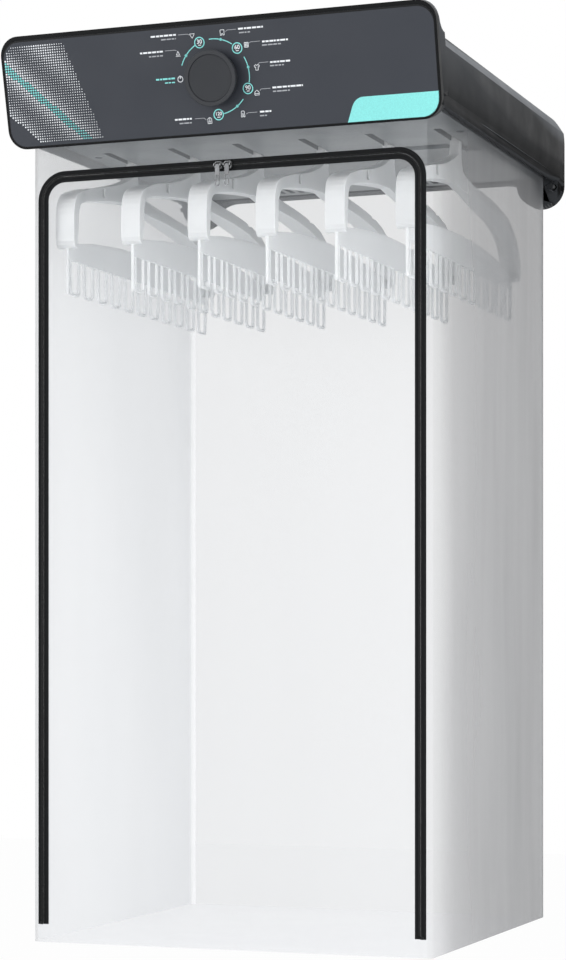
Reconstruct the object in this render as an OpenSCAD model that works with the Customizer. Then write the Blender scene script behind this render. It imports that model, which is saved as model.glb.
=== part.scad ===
// Wall-mounted heated-air clothes dryer. A dark head carries the tilted control
// fascia, the timer knob and the fan heater. Under it hangs a translucent zipped
// cover with six comb hangers, each held in a slot of the head's underside.
// Origin: centre of the wall bracket's back face. X right, Y to the wall, Z up.

/* [Head] */
// Width of the head and of its fascia
head_w = 560; // [550:2:600]
// Width of the casing's underside left beside the cover
side_land = 20; // [19.5:0.5:24]
// Gap between the wall and the back of the casing
wall_gap = 5; // [4.5:0.5:7]
// Height of the casing's lower edge below the origin
casing_drop = 38; // [36:1:40]
// Height of the casing's top above the origin
casing_rise = 47; // [45:0.5:48.5]
// Wall thickness of the casing
casing_t = 3; // [2.5:0.5:3.5]
// Width of the steep chamfer along the casing's top side edges
chamfer_w = 8; // [5:0.5:10]
// Height of that chamfer
chamfer_h = 15; // [12:0.5:18]
// Radius of the casing's top rear edge
rear_round = 32; // [28:1:36]
// Radius of the sweep from the casing's top up to the fascia
sweep_r = 22; // [18:1:24]
// Distance from the cover's front out to the foot of that sweep
sweep_over = 17; // [14:1:20]
// How far the two rear lobes hang below the origin
lobe_drop = 69; // [64:1:74]
// Radius of each lobe's outer lower corner
lobe_r = 30; // [28:1:34]
// Depth of the rear band that carries the lobes
band_d = 27; // [26:1:28]

/* [Fascia] */
// Height of the fascia along its slope
fascia_h = 136; // [132:1:140]
// Corner radius of the fascia
fascia_r = 24; // [16:1:30]
// Forward tilt of the fascia
fascia_tilt = 13.3; // [12:0.1:14.5]
// Distance from the cover's front out to the middle of the fascia's face
fascia_over = 37.8; // [36:0.2:42]
// Height of the middle of the fascia above the origin
fascia_up = 12; // [10:0.5:14]
// Depth of the fascia frame's rim
rim_d = 8; // [7:0.5:10]
// Width of the black border round the printed panel
border_w = 2.5; // [2:0.5:5]
// How much wider that border is along the top
border_top = 2.5; // [1:0.5:4]
// Thickness of the printed panel
panel_t = 1.5; // [1:0.25:2]
// Diameter of the timer knob
knob_d = 66; // [60:1:74]
// Height of the timer knob
knob_h = 17; // [15:1:22]
// Diameter of the timer shaft
timer_shaft_d = 6; // [5:0.5:7]
// Width and height of the timer body
timer_w = 40; // [34:1:41]

/* [Tray] */
// Depth of the tray's underside below the origin
tray_drop = 32.5; // [32:0.5:33]
// Thickness of the tray
tray_t = 3; // [2.5:0.5:3.5]
// Height of the tray's rim above its underside
tray_rim_h = 10.5; // [9:0.5:12]
// Thickness of the tray's rim
tray_rim_t = 2.5; // [2:0.5:3]
// Distance from the cover's side to the outermost hanger's middle
hanger_inset = 37.5; // [36:0.5:48]
// Width of a hanger slot
slot_w = 10; // [9:0.5:12]
// Height of the collar round a hanger slot, which the slot rail rests on
collar_h = 4; // [3:0.5:6]
// Length of a hanger slot
slot_l = 86; // [74:1:90]
// Distance from the wall to the closed end of the slots
slot_out = 318; // [317:1:324]
// Length of one air outlet slot
outlet_l = 56; // [40:2:58]

/* [Cover] */
// Depth of the cover
cover_d = 505; // [480:1:520]
// Distance from the wall to the back of the cover
cover_out = 35; // [34:1:36]
// Depth of the cover's floor below the origin
cover_drop = 1035; // [800:5:1400]
// Thickness of the cover's skin
cover_t = 1; // [0.8:0.1:1.2]
// Radius of the cover's upright edges
cover_r = 4; // [3.5:0.5:8]
// Height of the flap's fold line above the floor
fold_h = 22.6; // [18:0.2:40]
// Depth of the zip's top run below the origin
zip_drop = 86.6; // [80:0.2:110]
// Distance from the cover's side to the middle of the zip
zip_inset = 14.5; // [14.5:0.1:24]
// Radius of the zip's corners
zip_r = 29; // [20:1:60]
// Width of the zip, both tapes together
zip_w = 14; // [12:0.5:14.5]
// Height of the hem bead
hem_h = 6; // [4:0.5:8]
// Width of the hem bead
hem_w = 8; // [6:0.5:8]

/* [Hanger] */
// Width of the hanger's shoulders
shoulder_w = 25; // [20:1:30]
// Depth of the comb's lower edge below the tray
hanger_fall = 153.5; // [140:0.5:170]
// Thickness of the shoulders' skin
shoulder_t = 2.5; // [2:0.25:3]
// Thickness of the comb plate
comb_t = 3.5; // [3:0.25:5]
// Spacing of the comb's loops
loop_pitch = 41.3; // [39:0.1:41.6]
// Outer width of a loop
loop_w = 27; // [22:1:30]
// Depth of the loops below the comb plate
loop_h = 43; // [30:1:60]
// Thickness of a loop's leg
loop_leg = 3; // [2.5:0.25:4]

/* [Fan and heater] */
// Distance from the wall to the fan's axis
fan_out = 190; // [186:1:194]
// Outer radius of the fan wheel
wheel_r = 66; // [58:1:68]
// Height of the wheel's blades
blade_h = 26; // [20:1:28]
// Width of the fan housing
housing_w = 300; // [296:2:320]
// Diameter of the fan's shaft
fan_shaft_d = 6; // [5:0.5:7]
// Radius of the fins on the heater rods
fin_r = 9; // [7:0.5:10]
// Spacing of the fins
fin_pitch = 8; // [6:0.5:12]

/* [Wall bracket] */
// Width of the wall bracket
bracket_w = 360; // [340:2:400]
// Height of the wall bracket
bracket_h = 40; // [36:1:44]
// Thickness of the bracket's steel
bracket_t = 2.5; // [2:0.5:3]
// Spacing of the wall screws across
wall_hole_x = 300; // [280:2:320]
// Spacing of the wall screws in height
wall_hole_z = 24; // [20:1:26]
// Diameter of the wall screw holes
wall_hole_d = 5.5; // [4:0.5:7]

/* [Hidden] */
$fn = 64;

// Gap between pieces that fit into one another, and the overlap of joined shapes
fit = 0.3;
eps = 0.01;
run = 0.05;

black = [0.045, 0.047, 0.05];
slate = [0.27, 0.28, 0.30];
charcoal = [0.16, 0.165, 0.175];
steel = [0.72, 0.73, 0.74];
grey = [0.55, 0.57, 0.59];
film = [0.90, 0.91, 0.93, 0.55];
milky = [0.86, 0.90, 0.91];

casing_bot = -casing_drop;
casing_top = casing_rise;
tray_bot = -tray_drop;
tray_top = tray_bot + tray_t;
rim_top = tray_bot + tray_rim_h;
cover_w = head_w - 2 * side_land;
cover_back_y = -cover_out;
cover_front_y = -cover_out - cover_d;
fascia_out = -cover_front_y + fascia_over;
sweep_y = cover_front_y - sweep_over;
slot_pitch = (cover_w - 2 * hanger_inset) / 5;
cover_floor_z = -cover_drop;
fold_z = cover_floor_z + fold_h;
zip_z = -zip_drop;
zip_x = cover_w / 2 - zip_inset;

// An outline in X and Z, made solid from y_rear forward to y_front
module along_y(y_rear, y_front) {
    translate([0, y_rear, 0])
        rotate([90, 0, 0])
            linear_extrude(y_rear - y_front)
                children();
}

// An outline in Y and Z, made solid across the width w
module across(w) {
    rotate([90, 0, 90])
        linear_extrude(w, center = true)
            children();
}

// Places a shape in the fascia's own frame: X across, Z up its slope, -Y out of its face
module on_fascia() {
    translate([0, -fascia_out, fascia_up])
        rotate([fascia_tilt, 0, 0])
            children();
}

module rounded_rect(w, h, r) {
    square([w - 2 * r, h], center = true);
    square([w, h - 2 * r], center = true);
    for (sx = [-1, 1], sz = [-1, 1])
        translate([sx * (w / 2 - r), sz * (h / 2 - r)])
            circle(r);
}

module both_sides() {
    for (s = [0, 1])
        mirror([s, 0, 0])
            children();
}

// Points of a cubic curve through four control points
function curve(a, b, c, d, n = 8) = [for (i = [0:n]) let (t = i / n, u = 1 - t)
    u * u * u * a + 3 * u * u * t * b + 3 * u * t * t * c + t * t * t * d];

// Head casing

lobe_x = head_w / 2 - lobe_r;
band_bot = tray_bot - 1.5;
band_front_y = -wall_gap - band_d;
lobe_fillet = 45;
lobe_root_x = lobe_x - 52;
round_y = -wall_gap - rear_round;
round_z = casing_top - rear_round;
flange_w = 20;
lip_h = 7;
flange_t = 2.5;
opening_gap = 2;
hood_lap = 1.5;
hood_d = (casing_top - fascia_up) * sin(fascia_tilt)
    + (fascia_out + sweep_y + hood_lap) * cos(fascia_tilt);
chin_y = cover_front_y - opening_gap - 3;
chin_z = fascia_up - fascia_h / 2 * cos(fascia_tilt) + rim_d * sin(fascia_tilt);
post_r = 6;
pilot_r = 1.6;
well_h = 8.5;
well_r = 7;
grille_w = 180;
grille_d = 120;
screw_x = cover_w / 2 - 15;
screw_ys = [cover_front_y + 20, -slot_out - 62, cover_back_y - 40];

function fascia_back_y(z) =
    -fascia_out - tan(fascia_tilt) * (z - fascia_up) + rim_d / cos(fascia_tilt);

// Half section of the casing across, inset by i
module main_section(i, bottom) {
    hw = head_w / 2;
    slant = sqrt(chamfer_w * chamfer_w + chamfer_h * chamfer_h);
    low = casing_top - chamfer_h - i * (slant - chamfer_h) / chamfer_w;
    in = hw - chamfer_w - i * (slant - chamfer_w) / chamfer_h;
    polygon([[-hw + i, bottom], [hw - i, bottom], [hw - i, low], [in, casing_top - i],
        [-in, casing_top - i], [-hw + i, low]]);
}

// Rear outline with the two lobes, inset by i
module rear_outline(i) {
    hw = head_w / 2;
    translate([-hw + i, band_bot + i])
        square([head_w - 2 * i, casing_top - band_bot - 2 * i]);
    both_sides() {
        translate([lobe_x, -lobe_drop + lobe_r])
            circle(lobe_r - i);
        translate([lobe_x, -lobe_drop + lobe_r])
            square([lobe_r - i, lobe_drop - lobe_r + casing_top - i]);
        difference() {
            translate([lobe_root_x, -lobe_drop + i])
                square([lobe_x - lobe_root_x, lobe_drop]);
            translate([lobe_root_x, band_bot - lobe_fillet])
                circle(lobe_fillet + i);
            polygon([[lobe_root_x - 1, band_bot - 22 + i], [lobe_root_x + 31.8, band_bot - 13.2 + i],
                [lobe_x + 1.4 * i, -lobe_drop + i], [lobe_root_x - 1, -lobe_drop]]);
        }
    }
}

// Points of an arc in the Y and Z plane
function arc(centre, r, from, to, n = 16) = [for (k = [0:n]) let (a = from + (to - from) * k / n)
    [centre[0] + r * cos(a), centre[1] + r * sin(a)]];

// Side profile of the casing, inset by i: flat top, round rear edge, sweep up to the fascia
module side_profile(i) {
    low = -lobe_drop - 5;
    high = fascia_up + fascia_h;
    foot = casing_bot + (i > 0 ? lip_h + flange_t : 0);
    polygon(concat([[chin_y, foot], [band_front_y, foot], [band_front_y, low], [-wall_gap, low],
        [-wall_gap, round_z - eps]], arc([round_y, round_z], rear_round - i, 0, 90),
        arc([sweep_y, casing_top + sweep_r], sweep_r + i, 270, 180),
        [[sweep_y - sweep_r - i, high], [fascia_back_y(high) - eps - i, high],
        [fascia_back_y(chin_z) - eps - i, chin_z + 1.3 * i]]));
}

module hood_block(i, front, back) {
    on_fascia()
        along_y(back, front)
            rounded_rect(head_w - 2 * i, fascia_h - 2 * i, fascia_r - i);
}

module tray_posts(r, bottom, top) {
    both_sides()
        for (y = screw_ys)
            translate([screw_x, y, bottom])
                cylinder(h = top - bottom, r = r);
}

module head_casing() {
    inner_top = casing_top - casing_t;
    color(charcoal)
        difference() {
            union() {
                difference() {
                    intersection() {
                        across(head_w + 2 * casing_t)
                            side_profile(0);
                        union() {
                            along_y(band_front_y, sweep_y - 15)
                                main_section(0, casing_bot);
                            along_y(-wall_gap, band_front_y)
                                intersection() {
                                    rear_outline(0);
                                    main_section(0, -lobe_drop - 5);
                                }
                            hood_block(0, rim_d, hood_d);
                        }
                    }
                    intersection() {
                        across(head_w)
                            side_profile(casing_t);
                        union() {
                            along_y(-wall_gap - casing_t, sweep_y - 18)
                                main_section(casing_t, casing_bot + lip_h + flange_t);
                            hood_block(casing_t, rim_d - 1, hood_d - casing_t - 1);
                        }
                    }
                    along_y(-wall_gap + 1, band_front_y + casing_t)
                        intersection() {
                            rear_outline(casing_t);
                            translate([-head_w / 2, -lobe_drop - 5])
                                square([head_w, lobe_drop + 5 + round_z]);
                        }
                    bottom_opening();
                }
                lobe_bosses();
                tray_posts(post_r, tray_bot + well_h, inner_top + eps);
            }
            tray_posts(pilot_r, tray_bot + well_h - 1, tray_bot + well_h + 14);
            lobe_pilots();
            translate([-grille_w / 2 - fit, -fan_out - grille_d / 2 - fit, inner_top - 1])
                cube([grille_w + 2 * fit, grille_d + 2 * fit, casing_t + 2]);
            translate([gland_x, gland_y, band_bot - 1])
                cylinder(h = casing_t + 2, r = gland_r + fit);
        }
}

// The mouth for the cover and the tray, and the shadow groove outside it
module bottom_opening() {
    mouth = cover_w / 2 + opening_gap;
    mouth_top = casing_bot + lip_h + flange_t + 1;
    translate([-mouth, cover_front_y - opening_gap, -lobe_drop - 10])
        cube([2 * mouth, -cover_front_y - cover_out + 2 * opening_gap - 0.5,
            mouth_top + lobe_drop + 10]);
    translate([-head_w / 2 + casing_t, chin_y, casing_bot - 1])
        cube([head_w - 2 * casing_t, -chin_y + band_front_y, lip_h + 1]);
}

lobe_boss_z = lobe_r - lobe_drop - 7;
lobe_screw_x = head_w / 2 - 9;
lobe_screw_z = lobe_boss_z + 2;

module lobe_bosses() {
    both_sides()
        translate([0, -wall_gap - casing_t, 0])
            for (p = [[lobe_x, lobe_boss_z, 5], [lobe_screw_x, lobe_screw_z, 4]])
                translate([p[0], 0, p[1]])
                    rotate([90, 0, 0])
                        cylinder(h = band_d - 2 * casing_t + eps, r = p[2]);
}

module lobe_pilots() {
    both_sides() {
        translate([lobe_x, -wall_gap + 1, lobe_boss_z])
            rotate([90, 0, 0])
                cylinder(h = 14, r = pilot_r);
        translate([lobe_screw_x, band_front_y - 1, lobe_screw_z])
            rotate([-90, 0, 0])
                cylinder(h = 14, r = pilot_r);
    }
}

module intake_grille() {
    top = casing_top;
    slat_pitch = 11;
    slats = floor((grille_d - 12) / slat_pitch);
    color(charcoal)
        difference() {
            union() {
                translate([-grille_w / 2, -fan_out - grille_d / 2, top - casing_t])
                    cube([grille_w, grille_d, casing_t]);
                translate([-grille_w / 2 - 5, -fan_out - grille_d / 2 - 5, top - casing_t - 1.5])
                    cube([grille_w + 10, grille_d + 10, 1.5]);
            }
            for (k = [0:slats - 1], s = [-1, 1])
                translate([s * grille_w / 4 - grille_w / 4 + 7,
                        -fan_out + (k - (slats - 1) / 2) * slat_pitch - 3, top - casing_t - 2])
                    cube([grille_w / 2 - 14, 6, casing_t + 3]);
        }
}

hook_x = bracket_w / 3;
hook_w = 30;
hook_z = -22;
hook_lip = 7;
hook_t = 2.5;

module rear_panel() {
    i = casing_t + fit;
    color(charcoal)
        difference() {
            along_y(-wall_gap, -wall_gap - casing_t)
                intersection() {
                    rear_outline(i);
                    translate([-head_w / 2, -lobe_drop])
                        square([head_w, lobe_drop + round_z - fit]);
                }
            both_sides() {
                translate([hook_x - hook_w / 2 - 1, -wall_gap - casing_t - 1,
                        hook_z + hook_t + fit - hook_lip - 1.3])
                    cube([hook_w + 2, casing_t + 2, hook_lip + 1.3]);
                translate([lobe_x, -wall_gap + 1, lobe_boss_z])
                    rotate([90, 0, 0])
                        cylinder(h = casing_t + 2, r = 2.2);
            }
        }
}

module pan_screw(shank_r, shank_l, head_r, head_h) {
    translate([0, 0, -shank_l])
        cylinder(h = shank_l + eps, r = shank_r);
    difference() {
        cylinder(h = head_h, r = head_r);
        for (a = [0, 90])
            rotate([0, 0, a])
                translate([-head_r * 0.6, -0.4, head_h - 0.9])
                    cube([head_r * 1.2, 0.8, 1]);
    }
}

module rear_screws() {
    color(steel)
        both_sides()
            translate([lobe_x, -wall_gap, lobe_boss_z])
                rotate([-90, 0, 0])
                    pan_screw(pilot_r - run, 12, 4, 2.2);
}

module lobe_screws() {
    color(steel)
        both_sides()
            translate([lobe_screw_x, band_front_y, lobe_screw_z])
                rotate([90, 0, 0])
                    pan_screw(pilot_r - run, 11, 3.2, 11);
}

module wall_pads() {
    color(black)
        both_sides()
            translate([lobe_x, 0, lobe_boss_z])
                rotate([90, 0, 0])
                    difference() {
                        cylinder(h = wall_gap, r = 13);
                        translate([0, 0, -1])
                            cylinder(h = wall_gap + 2, r = 6);
                    }
}

module wall_bracket() {
    hh = bracket_h / 2;
    color(steel)
        difference() {
            union() {
                along_y(0, -bracket_t)
                    rounded_rect(bracket_w, bracket_h, 6);
                both_sides()
                    translate([hook_x - hook_w / 2, 0, hook_z]) {
                        translate([0, -wall_gap - casing_t - fit - hook_t, 0])
                            cube([hook_w, wall_gap + casing_t + fit + hook_t, hook_t]);
                        translate([0, -wall_gap - casing_t - fit - hook_t, 0])
                            cube([hook_w, hook_t, hook_lip]);
                        translate([0, -bracket_t, 0])
                            cube([hook_w, bracket_t, hh]);
                    }
            }
            for (sx = [-1, 1], sz = [-1, 1])
                translate([sx * wall_hole_x / 2, 1, sz * wall_hole_z / 2])
                    rotate([90, 0, 0])
                        cylinder(h = bracket_t + 2, d = wall_hole_d);
        }
}

// Fascia, timer and knob

knob_up = -1;
shaft_hole_r = 7;
frame_wall = 3;
timer_d = 30;
dish_d = 1.2;
knob_gap = 0.5;
ring_w = 5.6;
ring_h = 2.6;

// Outline of the printed panel's seat, inset by i from the fascia's own outline
module panel_outline(i) {
    translate([0, -border_top / 2])
        rounded_rect(head_w - 2 * i, fascia_h - 2 * i - border_top, fascia_r - i);
}

module fascia_frame() {
    color(black)
        on_fascia()
            difference() {
                along_y(rim_d, 0)
                    rounded_rect(head_w, fascia_h, fascia_r);
                along_y(panel_t, -1)
                    panel_outline(border_w);
                along_y(rim_d + 1, panel_t + frame_wall)
                    rounded_rect(head_w - 2 * casing_t, fascia_h - 2 * casing_t,
                        fascia_r - casing_t);
                along_y(rim_d, -1)
                    translate([0, knob_up])
                        circle(shaft_hole_r);
            }
}

module fascia_panel() {
    color(slate)
        on_fascia()
            along_y(panel_t, 0)
                difference() {
                    panel_outline(border_w + fit);
                    translate([0, knob_up])
                        circle(shaft_hole_r);
                }
}

module timer_body() {
    back = panel_t + frame_wall;
    color(grey)
        on_fascia()
            translate([0, 0, knob_up])
                difference() {
                    union() {
                        along_y(back + timer_d, back + 4)
                            rounded_rect(timer_w, timer_w, 5);
                        along_y(back + 4, back)
                            rounded_rect(timer_w - 8, timer_w - 8, 3);
                        along_y(back + eps, 0)
                            circle(shaft_hole_r - fit);
                    }
                    along_y(back + 16, -1)
                        circle(timer_shaft_d / 2 + run);
                }
}

module timer_shaft() {
    r = timer_shaft_d / 2;
    color(steel)
        on_fascia()
            translate([0, 0, knob_up])
                along_y(panel_t + frame_wall + 15, -13)
                    circle(r);
}

module knob() {
    r = knob_d / 2;
    color(charcoal)
        on_fascia()
            translate([0, -knob_gap, knob_up])
                rotate([90, 0, 0])
                    difference() {
                        rotate_extrude($fn = 96)
                            polygon([[0, 2], [r - 8, 2], [r - 8, 0], [r - 4.5, 0],
                                [r - 3.8, 1], [r - 1, knob_h - ring_h - 0.6],
                                [r - 1.4, knob_h - ring_h], [r - ring_w - fit, knob_h - ring_h],
                                [r - ring_w - fit, knob_h - dish_d], [0, knob_h - dish_d]]);
                        translate([0, 0, -1])
                            cylinder(h = 14, r = timer_shaft_d / 2 + run / 2);
                    }
}

module knob_ring() {
    r = knob_d / 2;
    color(slate)
        on_fascia()
            translate([0, -knob_gap - knob_h + ring_h, knob_up])
                rotate([90, 0, 0])
                    rotate_extrude($fn = 96)
                        polygon([[r - ring_w, 0], [r - 0.9, 0], [r - 0.3, 0.5], [r, 1.1],
                            [r, ring_h - 0.9], [r - 0.3, ring_h - 0.3], [r - 1, ring_h],
                            [r - ring_w + 0.8, ring_h], [r - ring_w + 0.2, ring_h - 0.3],
                            [r - ring_w, ring_h - 0.8]]);
}

// Tray, slot rail and hem

module tray_plan(inset) {
    gap = cover_t + inset;
    translate([0, (cover_front_y + cover_back_y) / 2])
        rounded_rect(cover_w - 2 * gap, cover_d - 2 * gap, cover_r - gap / 2);
}

module hanger_slots(bottom, top) {
    for (k = [0:5])
        translate([(k - 2.5) * slot_pitch - slot_w / 2, -slot_out - slot_l, bottom])
            cube([slot_w, slot_l, top - bottom]);
}

rail_z = tray_top + collar_h;
collar_t = 2;

// Walls round the slots and bosses between them, which carry the slot rail
module slot_collars() {
    for (k = [0:5])
        translate([(k - 2.5) * slot_pitch - slot_w / 2 - collar_t,
                -slot_out - slot_l - collar_t, tray_bot])
            cube([slot_w + 2 * collar_t, slot_l + 2 * collar_t, rail_z - tray_bot]);
    for (k = [-2:2])
        translate([k * slot_pitch, rail_screw_y, tray_bot])
            cylinder(h = rail_z - tray_bot, r = 5);
}

recess_y = -slot_out + 4;
recess_l = 27;
recess_h = 5;
recess_w = cover_w - 104;
notch_x = cover_w / 2 - 45;
notch_w = 21;
notch_l = 55;
outlet_x = 56;
outlet_pitch = 14;
outlet_w = 8;
outlet_n = 6;
outlet_y = cover_back_y - 44;

module tray() {
    color(grey)
        difference() {
            union() {
                translate([0, 0, tray_bot])
                    linear_extrude(tray_t)
                        tray_plan(1);
                translate([0, 0, tray_bot])
                    linear_extrude(tray_rim_h)
                        difference() {
                            tray_plan(1);
                            tray_plan(1 + tray_rim_t);
                        }
                tray_posts(well_r, tray_bot, tray_bot + well_h);
                slot_collars();
                translate([-recess_w / 2 - 2, recess_y - 2 + 2, tray_bot])
                    cube([recess_w + 4, recess_l + 4, recess_h + 2]);
                both_sides()
                    translate([notch_x - 2, recess_y + 2, tray_bot])
                        cube([notch_w + 4, notch_l + 4, recess_h + 2]);
            }
            hanger_slots(tray_bot - 1, rail_z + 1);
            tray_posts(5, tray_bot - 1, tray_bot + well_h - 2.5);
            tray_posts(2.1, tray_bot, tray_bot + well_h + 1);
            translate([-recess_w / 2, recess_y + 2, tray_bot - 1])
                cube([recess_w, recess_l, recess_h + 1]);
            both_sides() {
                translate([notch_x, recess_y + 4, tray_bot - 1])
                    cube([notch_w, notch_l, recess_h + 1]);
                for (k = [0:outlet_n - 1])
                    translate([outlet_x + k * outlet_pitch, outlet_y, tray_bot - 1])
                        linear_extrude(tray_t + 2)
                            rounded_rect(outlet_w, outlet_l, outlet_w / 2 - eps);
            }
            rail_holes(1.4);
        }
}

module tray_screws() {
    color(steel)
        both_sides()
            for (y = screw_ys)
                translate([screw_x, y, tray_bot + well_h - 2.5])
                    rotate([180, 0, 0])
                        pan_screw(pilot_r - run, 12, 4, 2.4);
}

rail_t = 2;
rail_w = cover_w - 48;
rail_front_y = -slot_out - slot_l - 6;
rail_back_y = recess_y - fit;
rail_screw_y = rail_front_y + 40;

module rail_holes(r) {
    for (k = [-2:2])
        translate([k * slot_pitch, rail_screw_y, tray_top - 1])
            cylinder(h = collar_h + rail_t + 2, r = r);
}

module slot_rail() {
    color(steel)
        difference() {
            translate([-rail_w / 2, rail_front_y, rail_z])
                cube([rail_w, rail_back_y - rail_front_y, rail_t]);
            hanger_slots(rail_z - 1, rail_z + rail_t + 1);
            rail_holes(1.8);
            tray_posts(well_r + 1, rail_z - 1, rail_z + rail_t + 1);
        }
}

module rail_screws() {
    color(steel)
        for (k = [-2:2])
            translate([k * slot_pitch, rail_screw_y, rail_z + rail_t])
                pan_screw(1.35, rail_t + collar_h, 3.2, 1.8);
}

module cover_plan(inset) {
    translate([0, (cover_front_y + cover_back_y) / 2])
        rounded_rect(cover_w - 2 * inset, cover_d - 2 * inset, max(cover_r - inset, 0.5));
}

module cover_hem() {
    color(grey)
        translate([0, 0, rim_top])
            linear_extrude(hem_h)
                difference() {
                    cover_plan(0);
                    cover_plan(hem_w);
                }
}

// Fan, heater and wiring pieces

fan_y = -fan_out;
housing_front_y = fan_y - wheel_r - 12;
housing_back_y = cover_back_y - 11;
housing_top = 20;
housing_t = 1.2;
wheel_low = tray_top + 9.5;
hub_r = 26;
motor_r = 20;
motor_top = 2;
hub_top = 8;
blade_n = 20;

module fan_housing() {
    d = housing_back_y - housing_front_y;
    mid_y = (housing_back_y + housing_front_y) / 2;
    color(steel)
        difference() {
            union() {
                translate([0, mid_y, tray_top])
                    linear_extrude(housing_top - tray_top)
                        rounded_rect(housing_w, d, 12);
                translate([0, mid_y, tray_top])
                    linear_extrude(housing_t)
                        rounded_rect(housing_w + 16, d + 10 - 2 * eps, 14);
                translate([0, fan_y, housing_top - eps])
                    cylinder(h = 4, r = wheel_r - 12);
            }
            translate([0, mid_y, tray_top - 1])
                linear_extrude(housing_top - tray_top - housing_t + 1)
                    rounded_rect(housing_w - 2 * housing_t, d - 2 * housing_t, 12 - housing_t);
            translate([0, fan_y, tray_top])
                cylinder(h = 80, r = wheel_r - 12 - housing_t);
        }
}

module fan_motor() {
    color(charcoal)
        translate([0, fan_y, 0])
            difference() {
                union() {
                    translate([0, 0, tray_top])
                        cylinder(h = 3, r = 28);
                    translate([0, 0, tray_top])
                        cylinder(h = motor_top - tray_top, r = motor_r);
                    for (a = [0:30:330])
                        rotate([0, 0, a])
                            translate([motor_r - 1, -2, tray_top])
                                cube([2, 4, motor_top - tray_top - 6]);
                }
                translate([0, 0, motor_top - 22])
                    cylinder(h = 30, r = fan_shaft_d / 2 + run);
                for (a = [45:90:315])
                    rotate([0, 0, a])
                        translate([24.5, 0, tray_top - 1])
                            cylinder(h = 6, r = 1.5);
            }
}

module motor_screws() {
    color(steel)
        translate([0, fan_y, tray_top + 3])
            for (a = [45:90:315])
                rotate([0, 0, a])
                    translate([24.5, 0, 0])
                        pan_screw(1.45, 2.9, 2.6, 1.6);
}

// One blade leans back from the wheel's inner radius to its rim
module fan_blade() {
    inner = wheel_r - 20;
    translate([inner, 0, wheel_low])
        rotate([0, 0, 38])
            translate([0, -0.6, 0])
                cube([23, 1.2, blade_h]);
}

module fan_wheel() {
    plate_t = 1.6;
    color(black)
        translate([0, fan_y, 0])
            difference() {
                union() {
                    translate([0, 0, wheel_low])
                        cylinder(h = plate_t, r = wheel_r);
                    translate([0, 0, wheel_low])
                        cylinder(h = hub_top - wheel_low, r = hub_r);
                    intersection() {
                        for (k = [0:blade_n - 1])
                            rotate([0, 0, k * 360 / blade_n])
                                fan_blade();
                        translate([0, 0, wheel_low])
                            cylinder(h = blade_h, r = wheel_r);
                    }
                    translate([0, 0, wheel_low + blade_h - 1.5])
                        difference() {
                            cylinder(h = 1.5, r = wheel_r);
                            translate([0, 0, -1])
                                cylinder(h = 4, r = wheel_r - 9);
                        }
                }
                translate([0, 0, wheel_low - 1])
                    cylinder(h = hub_top - 3 - wheel_low + 1, r = hub_r - 3.5);
                translate([0, 0, 0])
                    cylinder(h = 20, r = fan_shaft_d / 2 + run / 2);
            }
}

module fan_shaft() {
    color(steel)
        translate([0, fan_y, motor_top - 21])
            cylinder(h = hub_top + 3 - motor_top + 21, d = fan_shaft_d);
}

rod_ys = [housing_back_y - 58, housing_back_y - 20];
rod_z = -8;
rod_r = 4;
heater_x = housing_w / 2 - 8;

module heater_frame() {
    t = 2;
    color(steel)
        both_sides()
            difference() {
                union() {
                    translate([heater_x, rod_ys[0] - 14, tray_top])
                        cube([t, rod_ys[1] - rod_ys[0] + 28, rod_z + 14 - tray_top]);
                    translate([heater_x - 12, rod_ys[0] - 14, tray_top])
                        cube([12 + eps, 8, t]);
                }
                for (y = rod_ys)
                    translate([heater_x - 1, y, rod_z])
                        rotate([0, 90, 0])
                            cylinder(h = t + 2, r = rod_r + run);
            }
}

module heater_rods() {
    fins = floor((2 * heater_x - 20) / fin_pitch);
    color(steel)
        for (y = rod_ys)
            translate([0, y, rod_z])
                rotate([0, 90, 0]) {
                    translate([0, 0, -heater_x - 4])
                        cylinder(h = 2 * heater_x + 8, r = rod_r);
                    for (k = [0:fins])
                        translate([0, 0, (k - fins / 2) * fin_pitch - 0.4])
                            cylinder(h = 0.8, r = fin_r, $fn = 32);
                }
}

module thermostat() {
    color(steel)
        translate([housing_w / 2 - 54, housing_back_y - 24, housing_top]) {
            cylinder(h = 1, r = 9);
            cylinder(h = 7, r = 7.5);
            translate([-13, -4, 0])
                cube([26, 8, 0.8]);
            for (s = [-1, 1])
                translate([s * 3 - 0.4, -2.5, 7 - eps])
                    cube([0.8, 5, 6]);
        }
}

module thermal_fuse() {
    color([0.9, 0.9, 0.85])
        translate([54 - housing_w / 2, housing_back_y - 24, housing_top]) {
            translate([-4, -4, 0])
                cube([8, 8, 1.5]);
            translate([-8, 0, 3.3])
                rotate([0, 90, 0])
                    cylinder(h = 16, r = 2);
        }
}

module terminal_block() {
    color(milky)
        translate([housing_w / 2 + 36, housing_back_y - 60, tray_top])
            difference() {
                cube([22, 44, 15]);
                for (k = [0:3])
                    translate([11, 5.5 + k * 11, 4])
                        cylinder(h = 12, r = 3);
                for (k = [0:3])
                    translate([-1, 5.5 + k * 11, 5])
                        rotate([0, 90, 0])
                            cylinder(h = 24, r = 1.8);
            }
}

gland_x = -150;
gland_y = -wall_gap - 13;
gland_r = 7;
cord_r = 3.8;

module cord_gland() {
    color(black)
        translate([gland_x, gland_y, 0])
            difference() {
                union() {
                    translate([0, 0, band_bot - 7])
                        cylinder(h = casing_t + 7 + 3, r = gland_r);
                    translate([0, 0, band_bot - 2])
                        cylinder(h = 2, r = gland_r + 2.5);
                    translate([0, 0, band_bot + casing_t])
                        cylinder(h = 2, r = gland_r + 2);
                }
                translate([0, 0, band_bot - 10])
                    cylinder(h = 30, r = cord_r);
            }
}

// Cover and zip

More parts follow.
